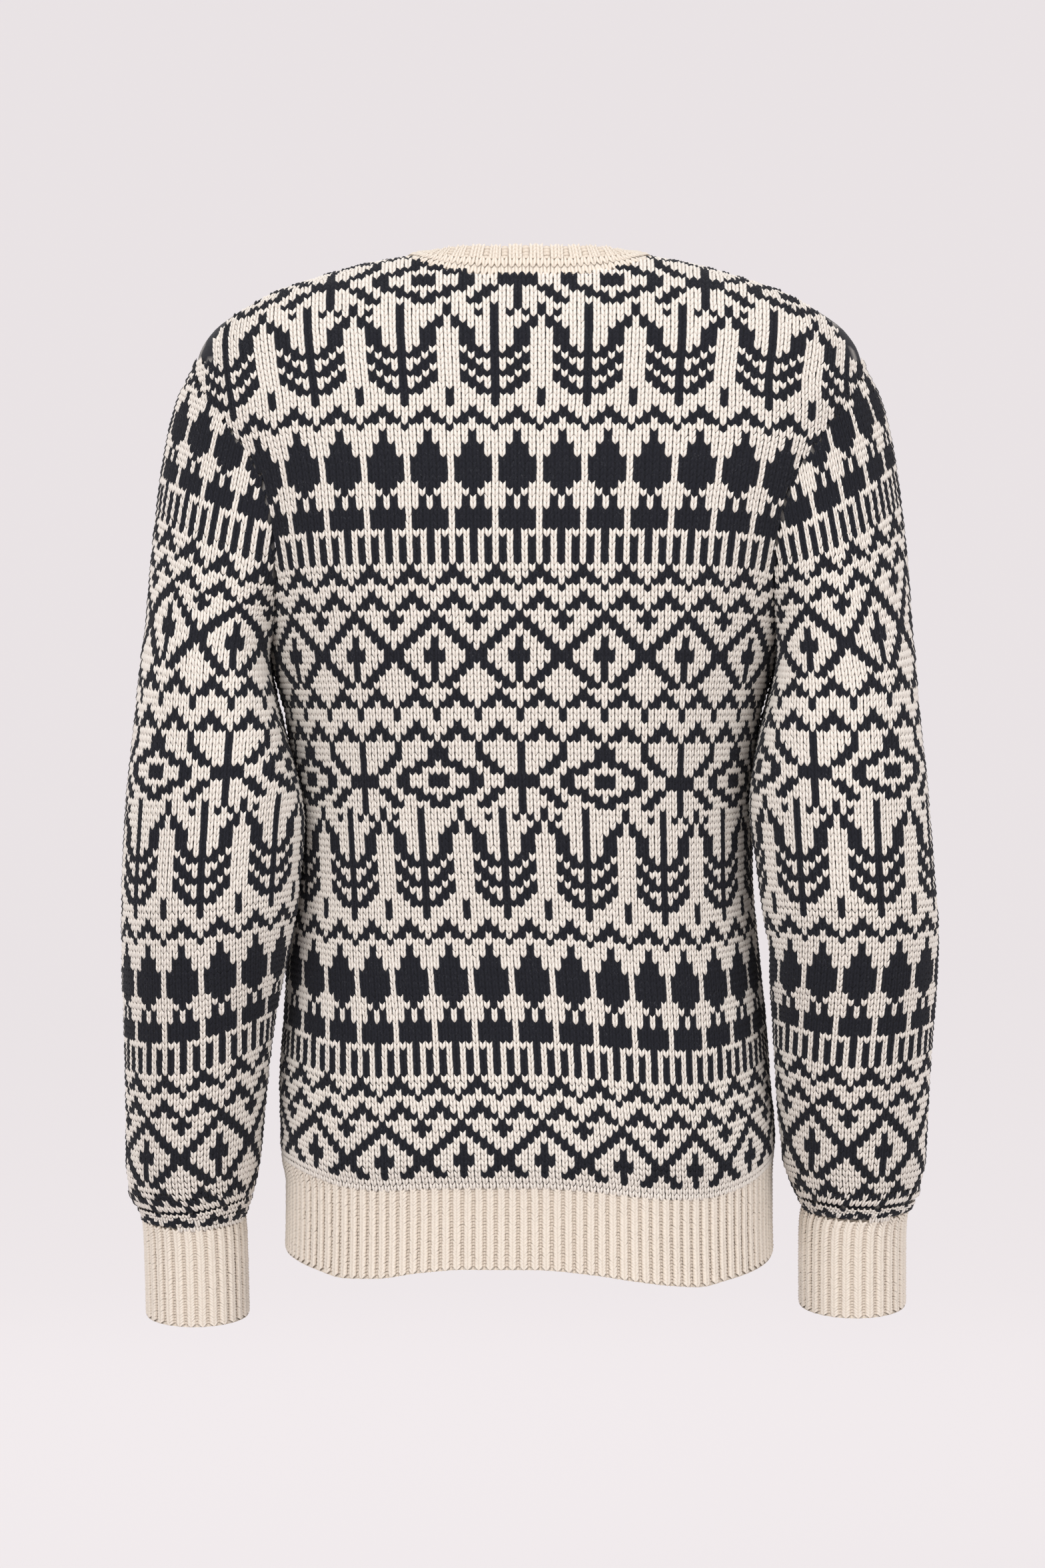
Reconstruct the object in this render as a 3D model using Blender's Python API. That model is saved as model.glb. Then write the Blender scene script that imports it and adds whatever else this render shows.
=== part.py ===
"""Crewneck sweater, worn shape, in metres: +Z up, the front faces -Y, the wearer's left is +X.

The origin is the middle of the shoulder line, where the wearer's shoulders hold the garment.
The torso is one closed surface worked out from a table of level sections, and each panel is a
patch of it. Each sleeve is a tube worked out from a table of levels, led into the armhole seam.
Every piece is a wall with an outer and an inner face, and pieces stop SEAM apart at their seams.
"""
import math

import bpy
import numpy as np

WALL = 0.0030
BAND_WALL = 0.0038
SEAM = 0.0003
RIB = 0.0012

PANEL_COLUMNS = 24
ARMHOLE_STEPS = 14
HEM_RIBS_PER_COLUMN = 2.5
NECK_RIBS_PER_COLUMN = 1
CUFF_RIBS_PER_COLUMN = 1

CUFF_SEAM_Z = -0.6270
CUFF_EDGE_Z = -0.6910
SHOULDER_TIP_Z = -0.068
UNDERARM_Z = -0.262
ARMHOLE_BACK = 0.069
ARMHOLE_FRONT = 0.063
NECK_HALF = 0.084
NECK_SIDE_Z = 0.0042


def table(columns, rows, unit=0.001):
    """A dict of named columns from rows of numbers in millimetres."""
    data = np.array(rows, dtype=float) * unit
    return {name: data[:, k] for k, name in enumerate(columns.split())}


# Level sections of the torso: half width, depth behind and in front of the shoulder line.
TORSO = table("z half back front shift", [
    (10, 40, 54, 42, 0),
    (4.2, 86, 57, 46, 0),
    (-1, 116, 60, 50, 0),
    (-9, 145, 64, 55, 0),
    (-19, 174, 70, 61, 0),
    (-31, 196, 77, 68, 0),
    (-42, 210, 82, 74, 0),
    (-56, 219, 88, 81, 0),
    (-68, 222, 92, 86, 0),
    (-90, 225, 98, 95, 0),
    (-115, 219, 104, 103, 1),
    (-139, 206, 110, 110, 1),
    (-165, 195, 115, 116, 2),
    (-206, 181, 119, 121, 3),
    (-240, 171, 120, 123, 3),
    (-262, 166, 119, 123, 4),
    (-300, 156, 117, 122, 4),
    (-350, 151, 112, 119, 4),
    (-400, 151, 108, 117, 4),
    (-450, 155, 105, 115, 4),
    (-495, 158.5, 106, 115, 3),
    (-530, 161, 110, 117, 3),
    (-573, 162.5, 117, 121, 1),
    (-590, 161.5, 118, 121, 1),
    (-605, 160, 114, 117, 0),
    (-625, 160, 111, 114, 0),
    (-665, 161, 109, 112, 0),
])
POWER = 2.3

# Height of the neck seam on each panel, by distance from the middle.
NECK = table("x back front", [
    (0, -11, -85),
    (20, -11, -82),
    (40, -9.5, -71),
    (58, -6, -50),
    (72, -1, -24),
    (81, 3, -4),
    (84, 4.2, 4.2),
])

# Hem seam and hem edge heights, from the right side seam (-1000) to the left one (1000).
HEM = table("turn seam edge", [
    (-1000, -585.5, -647),
    (-850, -592, -653),
    (-700, -600, -658),
    (-550, -606.5, -662.5),
    (-450, -609, -665.5),
    (-350, -608.5, -664),
    (-240, -606, -660.5),
    (-130, -602.5, -656),
    (0, -600, -652.5),
    (130, -600.2, -652.5),
    (250, -601, -655),
    (380, -603, -659.5),
    (500, -601.5, -660.3),
    (640, -596, -656),
    (800, -590, -651),
    (1000, -586.5, -646),
])

# Levels of the left sleeve: outermost and innermost x, middle and half depth in y.
SLEEVE = table("z outer inner middle deep", [
    (-60, 219, 14, 0, 66),
    (-90, 233.5, 32, 0, 66),
    (-115, 239.5, 58, 1, 66),
    (-165, 246, 98, 4, 66),
    (-206, 249.5, 130, 11, 65),
    (-240, 251.5, 148, 21, 63),
    (-262, 254, 153, 30, 62),
    (-300, 257, 150, 45, 60),
    (-359, 262, 146, 57, 58),
    (-421, 264.5, 151, 58, 57),
    (-462, 264.5, 159, 52, 55),
    (-495, 264, 166, 43, 53),
    (-542, 263.5, 172, 33, 50),
    (-588, 264, 177, 22, 46),
    (-611, 261.5, 182, 16, 42),
    (-627, 254.5, 187, 12, 36),
    (-640, 253.5, 190, 9, 33),
    (-700, 252.5, 193, -3, 32),
])

# How far the neckband leans in and rises, by angle round the neck from the back.
BAND = table("angle lean rise", [
    (0, 12, 20.5),
    (25, 13, 19),
    (38, 14.5, 15),
    (50, 17, 8),
    (62, 19, 4),
    (90, 19, 5),
    (130, 15, 13),
    (180, 11, 19),
])
BAND["angle"] *= 1000

# How much closer in the right sleeve's outer and inner sides hang, and how much higher it ends.
RIGHT = table("z outer inner", [
    (-200, 0, 0),
    (-240, 0.5, 6),
    (-262, 1.5, 9),
    (-300, 2.5, 10),
    (-340, 2.5, 5.5),
    (-396, 1.5, 0),
    (-440, -1, -0.5),
    (-484, 0, 6),
    (-520, 1.5, 9),
    (-557, 3, 10.5),
    (-588, 4.5, 10),
    (-611, 6.5, 6.5),
    (-627, 6, 3.5),
    (-700, 4, 0),
])
RIGHT_SLEEVE_UP = 0.006

# How far a cuff's rings drop towards the back, because the forearm leans forwards.
CUFF_TILT = 0.16


def smooth(xs, ys, x):
    """Monotone cubic interpolation through a table, flat beyond its ends."""
    order = np.argsort(xs)
    xs, ys = np.asarray(xs)[order], np.asarray(ys)[order]
    step = np.diff(xs)
    slope = np.diff(ys) / step
    tangent = np.zeros_like(ys)
    same = slope[:-1] * slope[1:] > 0
    mean = np.zeros(len(slope) - 1)
    mean[same] = 2 * slope[:-1][same] * slope[1:][same] / (slope[:-1] + slope[1:])[same]
    tangent[1:-1] = mean
    tangent[0], tangent[-1] = slope[0], slope[-1]
    x = np.clip(x, xs[0], xs[-1])
    k = np.clip(np.searchsorted(xs, x) - 1, 0, len(step) - 1)
    h, t = step[k], (x - xs[k]) / step[k]
    return ((1 + 2 * t) * (1 - t) ** 2 * ys[k] + t * (1 - t) ** 2 * h * tangent[k]
            + t * t * (3 - 2 * t) * ys[k + 1] + t * t * (t - 1) * h * tangent[k + 1])


def torso_value(name, z):
    """A named column of TORSO at height z."""
    return smooth(TORSO["z"], TORSO[name], z)


def torso_point(face, turn, z):
    """Point and outward normal on the torso.

    face is "back" or "front"; turn runs from -1 at the right side seam or shoulder ridge
    through 0 at the middle to 1 at the left one.
    """
    turn, z = np.broadcast_arrays(np.asarray(turn, float), np.asarray(z, float))
    sign = 1.0 if face == "back" else -1.0
    half, depth = torso_value("half", z), torso_value(face, z)
    angle = turn * math.pi / 2
    across = np.sign(angle) * np.abs(np.sin(angle)) ** (2 / POWER)
    along = np.abs(np.cos(angle)) ** (2 / POWER)
    point = np.stack([half * across + torso_value("shift", z), sign * depth * along, z], -1)
    e = 0.0005
    grow = (torso_value("half", z + e) - torso_value("half", z - e)) / (2 * e)
    deepen = (torso_value(face, z + e) - torso_value(face, z - e)) / (2 * e)
    move = (torso_value("shift", z + e) - torso_value("shift", z - e)) / (2 * e)
    nx = np.sign(across) * np.abs(across) ** (POWER - 1) / half
    ny = sign * along ** (POWER - 1) / depth
    nz = -(np.abs(across) ** POWER * grow / half + along ** POWER * deepen / depth) - nx * move
    normal = np.stack([nx, ny, nz], -1)
    return point, normal / np.linalg.norm(normal, axis=-1, keepdims=True)


def turn_at_x(x, z):
    """The turn at which the torso's section at z is x from its middle."""
    half = torso_value("half", z)
    return np.sign(x) * 2 / math.pi * np.arcsin(np.clip(np.abs(x) / half, 0, 1) ** (POWER / 2))


def turn_at_depth(face, depth, z):
    """The turn, 0 to 1, at which the torso's section at z is depth from the shoulder plane."""
    share = np.clip(np.abs(depth) / torso_value(face, z), 0, 1)
    return 2 / math.pi * np.arccos(share ** (POWER / 2))


def armhole_level(angle):
    """Height of the armhole seam at an angle from its top."""
    middle, tall = (SHOULDER_TIP_Z + UNDERARM_Z) / 2, (SHOULDER_TIP_Z - UNDERARM_Z) / 2
    return middle + tall * np.cos(angle)


def armhole(face, angle, side):
    """Point and torso normal on the armhole seam; side is 1 for the wearer's left."""
    z = armhole_level(angle)
    deep = ARMHOLE_BACK if face == "back" else ARMHOLE_FRONT
    turn = side * turn_at_depth(face, deep * np.sin(angle), z)
    return torso_point(face, turn, z)


def sleeve_tube(angle, z, side):
    """Point on the free-hanging sleeve; the angle runs from the outside towards the back."""
    outer, inner = smooth(SLEEVE["z"], SLEEVE["outer"], z), smooth(SLEEVE["z"], SLEEVE["inner"], z)
    middle, deep = smooth(SLEEVE["z"], SLEEVE["middle"], z), smooth(SLEEVE["z"], SLEEVE["deep"], z)
    if side < 0:
        outer = outer - smooth(RIGHT["z"], RIGHT["outer"], z)
        inner = inner - smooth(RIGHT["z"], RIGHT["inner"], z)
    x = (outer + inner) / 2 + (outer - inner) / 2 * np.cos(angle)
    return np.stack([side * x, middle + deep * np.sin(angle), z + 0 * x], -1)


def armhole_both(angle, side):
    """The armhole seam round both panels; the angle passes the back first, then the front."""
    angle = np.asarray(angle, float) % (2 * math.pi)
    back = armhole("back", np.minimum(angle, math.pi), side)
    front = armhole("front", np.minimum(2 * math.pi - angle, math.pi), side)
    is_back = (angle <= math.pi)[..., None]
    return np.where(is_back, back[0], front[0]), np.where(is_back, back[1], front[1])


def sleeve_point(angle, z, side):
    """The sleeve's outer surface: the tube, led into the armhole seam near the top."""
    level = armhole_level(angle)
    gap = armhole_both(angle, side)[0] - sleeve_tube(angle, level, side)
    below = np.clip((level - z) / 0.11, 0, 1)
    fade = (1 - below) ** 2 * (1 + 2 * below)
    return sleeve_tube(angle, z, side) + fade[..., None] * gap


def grid_normals(points, wrap):
    """Normals of a grid of points by central differences; the columns may close on themselves."""
    down = np.gradient(points, axis=0)
    if wrap:
        across = (np.roll(points, -1, 1) - np.roll(points, 1, 1)) / 2
    else:
        across = np.gradient(points, axis=1)
    normal = np.cross(across, down)
    return normal / np.linalg.norm(normal, axis=-1, keepdims=True)


def make_shell(name, outer, inner, wrap, material):
    """One closed wall from an outer and an inner grid of rows and columns."""
    rows, columns = outer.shape[:2]
    points = [tuple(p) for p in outer.reshape(-1, 3)] + [tuple(p) for p in inner.reshape(-1, 3)]
    base = rows * columns
    faces = []
    last = columns if wrap else columns - 1
    for i in range(rows - 1):
        for j in range(last):
            k = (j + 1) % columns
            faces.append((i * columns + j, i * columns + k, (i + 1) * columns + k, (i + 1) * columns + j))
            a, b = base + i * columns, base + (i + 1) * columns
            faces.append((b + j, b + k, a + k, a + j))

    def rim(a, b):
        """Close the wall's edge between two outer points, split from the higher one."""
        if points[a][2] > points[b][2]:
            faces.extend([(b, a, base + b), (a, base + a, base + b)])
        else:
            faces.extend([(b, a, base + a), (b, base + a, base + b)])

    end = (rows - 1) * columns
    for j in range(last):
        k = (j + 1) % columns
        rim(j, k)
        rim(end + k, end + j)
    if not wrap:
        for i in range(rows - 1):
            a, b = i * columns, (i + 1) * columns
            rim(b, a)
            rim(a + columns - 1, b + columns - 1)
    volume = 0.0
    for face in faces:
        a = np.array(points[face[0]])
        for n in range(1, len(face) - 1):
            volume += np.dot(a, np.cross(points[face[n]], points[face[n + 1]]))
    if volume < 0:
        faces = [tuple(reversed(face)) for face in faces]
    mesh = bpy.data.meshes.new(name)
    mesh.from_pydata(points, [], faces)
    mesh.materials.append(material)
    mesh.polygons.foreach_set("use_smooth", [True] * len(faces))
    mesh.update()
    piece = bpy.data.objects.new(name, mesh)
    COLLECTION.objects.link(piece)
    return piece


def make_material(name, colour):
    """A plain matt material of one colour."""
    material = bpy.data.materials.new(name)
    material.use_nodes = True
    shader = material.node_tree.nodes["Principled BSDF"]
    shader.inputs["Base Color"].default_value = (*colour, 1)
    shader.inputs["Roughness"].default_value = 0.95
    return material


def unit(vectors):
    """The vectors at length one."""
    return vectors / np.linalg.norm(vectors, axis=-1, keepdims=True)


def mitre(normal, other, level=False):
    """Direction and length factor of a wall's edge where two pieces meet at an angle."""
    both = normal + other
    if level:
        both[[0, -1], 1] = 0
    both = unit(both)
    return both / np.maximum(np.sum(both * normal, axis=-1, keepdims=True), 0.6)


def sleeve_seam_normal(angle, side):
    """Outward normal of the sleeve at the armhole seam, by small differences."""
    angle = np.asarray(angle, float)
    level = armhole_level(angle)
    e = 0.002
    here, lower = sleeve_point(angle, level, side), sleeve_point(angle, level - e, side)
    turned = sleeve_point(angle + 0.01, armhole_level(angle + 0.01), side)
    normal = -side * np.cross(turned - here, lower - here)
    return normal / np.linalg.norm(normal, axis=-1, keepdims=True)


def hem_level(column, turn):
    """Height of the hem's seam or edge at a turn."""
    return smooth(HEM["turn"], HEM[column], turn)


def panel_grids(face):
    """Outer points and normals of a panel, rows from the hem seam to the neck seam."""
    share = np.linspace(-1, 1, PANEL_COLUMNS + 1)
    # the same number of columns from the middle to each side, closer together at the sides
    share = np.sign(share) * (1 - (1 - np.abs(share)) ** 1.06)
    rows = []
    for part in np.linspace(0, 1, 10)[:-1]:
        low = hem_level("seam", share) + SEAM / 2
        level = low + (UNDERARM_Z - low) * part
        rows.append((share, level))
    angles = np.linspace(math.pi, 0, ARMHOLE_STEPS + 1)
    deep = ARMHOLE_BACK if face == "back" else ARMHOLE_FRONT
    neck_x = NECK_HALF * np.sin(share * math.pi / 2)
    neck_z = smooth(NECK["x"], NECK[face], np.abs(neck_x))
    neck_turn = turn_at_x(neck_x, neck_z)
    neck_turn[0], neck_turn[-1] = -1, 1
    middle_neck = neck_z[PANEL_COLUMNS // 2]
    spare = middle_neck - UNDERARM_Z
    side_rise = NECK_SIDE_Z - UNDERARM_Z
    arch = (neck_z - NECK_SIDE_Z) / (middle_neck - NECK_SIDE_Z)
    slow = 1.0
    for angle in angles:
        z = armhole_level(angle)
        edge = turn_at_depth(face, deep * math.sin(angle), z)
        # above the narrowest level the middle columns run straight up
        slow = min(slow, edge)
        spread = share * slow + (edge - slow) * share * np.abs(share) ** 3
        lift = (z - UNDERARM_Z) / side_rise
        drop = (UNDERARM_Z + spare * lift ** 0.92 - z) * lift
        rows.append((spread, z + drop * (1 - share ** 2) ** 2))
    for z in np.linspace(SHOULDER_TIP_Z, NECK_SIDE_Z, 7)[1:]:
        lift = (z - UNDERARM_Z) / side_rise
        late = (z - SHOULDER_TIP_Z) / (NECK_SIDE_Z - SHOULDER_TIP_Z)
        drop = (UNDERARM_Z + spare * lift ** 0.92 - z) * lift
        bow = (1 - late) * (1 - share ** 2) ** 2 + late * arch
        rows.append((spread * (1 - late) + neck_turn * late, z + drop * bow))
    turn = np.array([r[0] for r in rows])
    level = np.array([r[1] for r in rows])
    return turn, level


def main():
    """Build the panels, sleeves, cuffs, hem halves and neckband."""
    for item in list(bpy.data.objects):
        bpy.data.objects.remove(item, do_unlink=True)

    back_knit = make_material("Back knit", (0.30, 0.29, 0.28))
    front_knit = make_material("Front knit", (0.31, 0.30, 0.29))
    sleeve_knit = make_material("Sleeve knit", (0.29, 0.28, 0.27))
    rib_knit = make_material("Hem rib", (0.80, 0.73, 0.63))
    cuff_knit = make_material("Cuff rib", (0.79, 0.72, 0.62))
    band_knit = make_material("Neckband rib", (0.81, 0.74, 0.64))

    first_armhole = 9
    last_armhole = first_armhole + ARMHOLE_STEPS
    angles = np.linspace(math.pi, 0, ARMHOLE_STEPS + 1)
    neck_edges = {}
    hem_turns = None
    for face, material in (("back", back_knit), ("front", front_knit)):
        turn, level = panel_grids(face)
        hem_turns = turn[0]
        outer, normal = torso_point(face, turn, level)
        for side, column in ((1, -1), (-1, 0)):
            sleeve = sleeve_seam_normal(angles if face == "back" else -angles, side)
            rows = slice(first_armhole, last_armhole + 1)
            # the corners stay in the plane of the side and shoulder seams
            normal[rows, column] = mitre(normal[rows, column], sleeve, True)
        shift = np.array([0, SEAM / 2 if face == "back" else -SEAM / 2, 0])
        outer = outer + shift
        inner = outer - WALL * normal
        neck_edges[face] = (outer[-1], inner[-1], normal[-1])
        make_shell(face, outer, inner, False, material)

    for side, name in ((1, "left"), (-1, "right")):
        back_angles = np.linspace(0, math.pi, ARMHOLE_STEPS + 1)
        around = np.concatenate([back_angles, (2 * math.pi - back_angles)[-2:0:-1]])
        cuff_top = CUFF_SEAM_Z + (RIGHT_SLEEVE_UP if side < 0 else 0)
        level0 = armhole_level(around)
        outer = [armhole_both(around, side)[0]]
        steps = np.concatenate([np.linspace(0, 0.55, 9)[1:], np.linspace(0.55, 0.93, 7)[1:],
                                [0.955, 0.98, 1.0]])
        for step in steps:
            flat = min(1.0, step * 1.15) ** 0.8
            level = level0 * (1 - flat) + flat * (-0.255 + (cuff_top + 0.255) * step)
            level = np.minimum(level, level0 - 0.006 * min(1, step * 12))
            level = level - CUFF_TILT * 0.036 * np.sin(around) * max(0, step - 0.5) * 2
            outer.append(sleeve_point(around, level, side))
        outer = np.array(outer)
        normal = grid_normals(outer, True)
        middle = outer.mean(axis=1, keepdims=True)
        flip = np.sign(np.sum(normal * (outer - middle), axis=-1).mean())
        normal *= flip
        torso_normal = armhole_both(around, side)[1]
        edge = mitre(torso_normal, sleeve_seam_normal(around, side))
        edge[[0, ARMHOLE_STEPS], 1] = 0
        normal[0] = edge
        across = np.cross(np.roll(outer[0], -1, 0) - np.roll(outer[0], 1, 0), edge)
        across *= np.sign(np.sum(across * (outer[1] - outer[0]), axis=-1, keepdims=True))
        outer[0] = outer[0] + SEAM * unit(across)
        inner = outer - WALL * normal
        make_shell("sleeve_" + name, outer, inner, True, sleeve_knit)

        # the cuff starts on the sleeve's last ring, with a crest and a valley for each rib
        fine = 2 * CUFF_RIBS_PER_COLUMN
        ring = outer[-1]
        ring = np.concatenate([ring + (np.roll(ring, -1, 0) - ring) * (n / fine)
                               for n in range(fine)], axis=1).reshape(-1, 3)
        centre = ring.mean(axis=0)
        out = ring - centre
        out[:, 2] = 0
        out /= np.linalg.norm(out, axis=-1, keepdims=True)
        crest = (np.arange(len(ring)) % 2)[:, None] * RIB
        rows, inner_rows = [], []
        for part in (0, 0.5, 1):
            fall = SEAM + (CUFF_SEAM_Z - CUFF_EDGE_Z - SEAM) * part
            drift = sleeve_tube(np.array(0.0), np.array(cuff_top - fall), side) - sleeve_tube(
                np.array(0.0), np.array(cuff_top), side)
            place = ring + np.array([drift[0], drift[1], -fall])
            inside = place - out * BAND_WALL
            rows.append(place + out * crest - out * RIB * 0.5)
            inner_rows.append(inside)
        make_shell("cuff_" + name, np.array(rows), np.array(inner_rows), True, cuff_knit)

    # the hem halves start on the panels' seam edges and follow the torso's sections down
    fine = int(2 * HEM_RIBS_PER_COLUMN)
    share = np.concatenate([hem_turns[:-1] + (hem_turns[1:] - hem_turns[:-1]) * (n / fine)
                            for n in range(fine)]).reshape(fine, -1).T.reshape(-1)
    share = np.append(share, 1.0)
    for face in ("back", "front"):
        seam_z = hem_level("seam", hem_turns) - SEAM / 2
        seam_points = torso_point(face, hem_turns, seam_z)[0]
        top = np.stack([np.interp(share, hem_turns, seam_points[:, k]) for k in range(3)], -1)
        rows, inner_rows = [], []
        crest = (np.arange(len(share)) % 2)[:, None] * RIB
        crest[[0, -1]] = RIB * 0.5
        for part in (0, 0.5, 1):
            level = (1 - part) * top[:, 2] + part * hem_level("edge", share)
            place, normal = torso_point(face, share, level)
            if part == 0:
                place = top
            normal[:, 2] = 0
            normal /= np.linalg.norm(normal, axis=-1, keepdims=True)
            place = place + np.array([0, SEAM / 2 if face == "back" else -SEAM / 2, 0])
            rows.append(place + normal * (crest - RIB * 0.5))
            inner_rows.append(place - normal * BAND_WALL)
        make_shell("hem_" + face, np.array(rows), np.array(inner_rows), False, rib_knit)

    # the neckband leans in and rises from the panels' neck edges
    edge = np.concatenate([neck_edges["back"][0][::-1], neck_edges["front"][0][1:-1]])
    wall = np.concatenate([neck_edges["back"][2][::-1], neck_edges["front"][2][1:-1]])
    fine = 2 * NECK_RIBS_PER_COLUMN
    edge = np.concatenate([edge + (np.roll(edge, -1, 0) - edge) * (n / fine)
                           for n in range(fine)], axis=1).reshape(-1, 3)
    wall = np.concatenate([wall + (np.roll(wall, -1, 0) - wall) * (n / fine)
                           for n in range(fine)], axis=1).reshape(-1, 3)
    wall /= np.linalg.norm(wall, axis=-1, keepdims=True)
    hub = np.array([0, -0.012, 0])
    inward = hub - edge
    inward[:, 2] = 0
    inward /= np.linalg.norm(inward, axis=-1, keepdims=True)
    bearing = np.degrees(np.arccos(np.clip(-inward[:, 1], -1, 1)))
    lean = smooth(BAND["angle"], BAND["lean"], bearing)[:, None]
    rise = smooth(BAND["angle"], BAND["rise"], bearing)[:, None]
    up = np.array([0, 0, 1.0])
    tangent = unit(np.roll(edge, -1, 0) - np.roll(edge, 1, 0))
    across = inward * lean + up * rise
    width = np.linalg.norm(across, axis=-1, keepdims=True)
    across = unit(across - np.sum(across * tangent, axis=-1, keepdims=True) * tangent) * width
    out = unit(np.cross(tangent, across))
    out *= np.sign(np.sum(out * -inward, axis=-1, keepdims=True))
    clear = np.cross(tangent, wall)
    clear = unit(clear * np.sign(np.sum(clear * across, axis=-1, keepdims=True))) * SEAM
    crest = (np.arange(len(edge)) % 2)[:, None]
    rows, inner_rows = [], []
    for part, bulge, rib in ((0, 0, 0), (0.35, 0.0018, 1), (0.8, 0.0018, 1), (1, 0, 0.5)):
        place = edge + clear + across * part
        face_out = wall if part == 0 else out
        rows.append(place + face_out * (bulge + RIB * (crest - 0.5) * rib))
        inner_rows.append(place - face_out * BAND_WALL + (out * bulge if part else 0))
    make_shell("neckband", np.array(rows), np.array(inner_rows), True, band_knit)


COLLECTION = bpy.data.collections.new("Crewneck sweater")
bpy.context.scene.collection.children.link(COLLECTION)
main()
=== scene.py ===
"""Dresses the crewneck sweater's frame: knitted panels and sleeves, ribbed hem, cuffs and neckband.

Metres, +Z up, the front faces -Y and the wearer's left is +X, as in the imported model. Every wall is
laid out stitch by stitch on the same level sections as the solids, over one inner layer of floats.
"""
import logging
import math
from dataclasses import dataclass, field
from enum import Enum

import bpy
import numpy as np
from mathutils.kdtree import KDTree
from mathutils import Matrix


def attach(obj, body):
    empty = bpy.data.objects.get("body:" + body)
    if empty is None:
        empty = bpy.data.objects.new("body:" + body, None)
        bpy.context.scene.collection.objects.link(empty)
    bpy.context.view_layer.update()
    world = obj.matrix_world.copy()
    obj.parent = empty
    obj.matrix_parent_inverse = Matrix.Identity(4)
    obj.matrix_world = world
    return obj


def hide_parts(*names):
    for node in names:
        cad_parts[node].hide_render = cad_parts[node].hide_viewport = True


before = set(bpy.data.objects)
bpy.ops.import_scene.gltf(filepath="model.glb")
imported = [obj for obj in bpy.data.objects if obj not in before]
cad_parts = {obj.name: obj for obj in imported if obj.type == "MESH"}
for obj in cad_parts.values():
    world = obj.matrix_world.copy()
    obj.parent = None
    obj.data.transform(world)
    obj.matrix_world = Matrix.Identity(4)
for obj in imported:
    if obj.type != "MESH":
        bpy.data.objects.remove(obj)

LOG = logging.getLogger("sweater")
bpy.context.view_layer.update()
Array = np.ndarray
Socket, Piece = bpy.types.NodeSocket, bpy.types.Object
Finish, Mesh = bpy.types.Material, bpy.types.Mesh

SEAM = 0.0003
POWER = 2.3
CUFF_SEAM_Z = -0.6270
CUFF_EDGE_Z = -0.6910
CUFF_TILT = 0.16
CUFF_DEPTH = 0.036
RIGHT_SLEEVE_UP = 0.006
SHOULDER_TIP_Z = -0.068
UNDERARM_Z = -0.262
ARMHOLE_MIDDLE_Z = (SHOULDER_TIP_Z + UNDERARM_Z) / 2
ARMHOLE_HALF = (SHOULDER_TIP_Z - UNDERARM_Z) / 2
ARMHOLE_BACK = 0.069
ARMHOLE_FRONT = 0.063
NECK_HALF = 0.084
NECK_SIDE_Z = 0.0042
NECK_BACK_Z = -0.0105
HEM_LEVEL_Z = -0.6
CHEST_CORE = 0.12
WIDEST_Z = -0.0901
LED_IN = 0.11
OUTER_CLOSING = 0.003
SIDE_KNEE = 0.85
DARK_BLOOM = 0.17
PALE_SHRINK = 0.05
DARK_LIFT = 0.00028


class Face(Enum):
    """The two panels."""

    BACK = "back"
    FRONT = "front"

    @property
    def sign(self) -> float:
        """Direction of the panel along Y."""
        return 1.0 if self is Face.BACK else -1.0

    @property
    def armhole(self) -> float:
        """Depth of the armhole seam on the panel."""
        return ARMHOLE_BACK if self is Face.BACK else ARMHOLE_FRONT


class Side(Enum):
    """The wearer's two sides."""

    LEFT = 1
    RIGHT = -1

    @property
    def word(self) -> str:
        """The side's name, as the nodes have it."""
        return self.name.lower()


class Table(dict[str, Array]):
    """Named columns, read by smooth interpolation over the first one."""

    def at(self, name: str, x: Array) -> Array:
        """The named column where the first column is x."""
        return smooth(self[next(iter(self))], self[name], x)


def table(columns: str, rows: list[tuple[float, ...]], unit: float = 0.001) -> Table:
    """A table from rows of numbers.

    Args:
        columns: Names with spaces between them.
        rows: One tuple for each row.
        unit: Factor for every number, from millimetres by default.

    Returns:
        One array for each name.
    """
    data = np.array(rows, dtype=float) * unit
    return Table((name, data[:, k]) for k, name in enumerate(columns.split()))


# Level sections of the torso: half width, depth behind and in front, shift of the middle.
TORSO = table("z half back front shift", [
    (10, 40, 54, 42, 0), (4.2, 86, 57, 46, 0), (-1, 116, 60, 50, 0), (-9, 145, 64, 55, 0),
    (-19, 174, 70, 61, 0), (-31, 196, 77, 68, 0), (-42, 210, 82, 74, 0), (-56, 219, 88, 81, 0),
    (-68, 222, 92, 86, 0), (-90, 225, 98, 95, 0), (-115, 219, 104, 103, 1),
    (-139, 206, 110, 110, 1), (-165, 195, 115, 116, 2), (-206, 181, 119, 121, 3),
    (-240, 171, 120, 123, 3), (-262, 166, 119, 123, 4), (-300, 156, 117, 122, 4),
    (-350, 151, 112, 119, 4), (-400, 151, 108, 117, 4), (-450, 155, 105, 115, 4),
    (-495, 158.5, 106, 115, 3), (-530, 161, 110, 117, 3), (-573, 162.5, 117, 121, 1),
    (-590, 161.5, 118, 121, 1), (-605, 160, 114, 117, 0), (-625, 160, 111, 114, 0),
    (-665, 161, 109, 112, 0),
])

# Height of the neck seam on each panel, by distance from the middle.
NECK = table("x back front", [
    (0, -11, -85), (20, -11, -82), (40, -9.5, -71), (58, -6, -50), (72, -1, -24), (81, 3, -4),
    (84, 4.2, 4.2),
])

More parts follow.
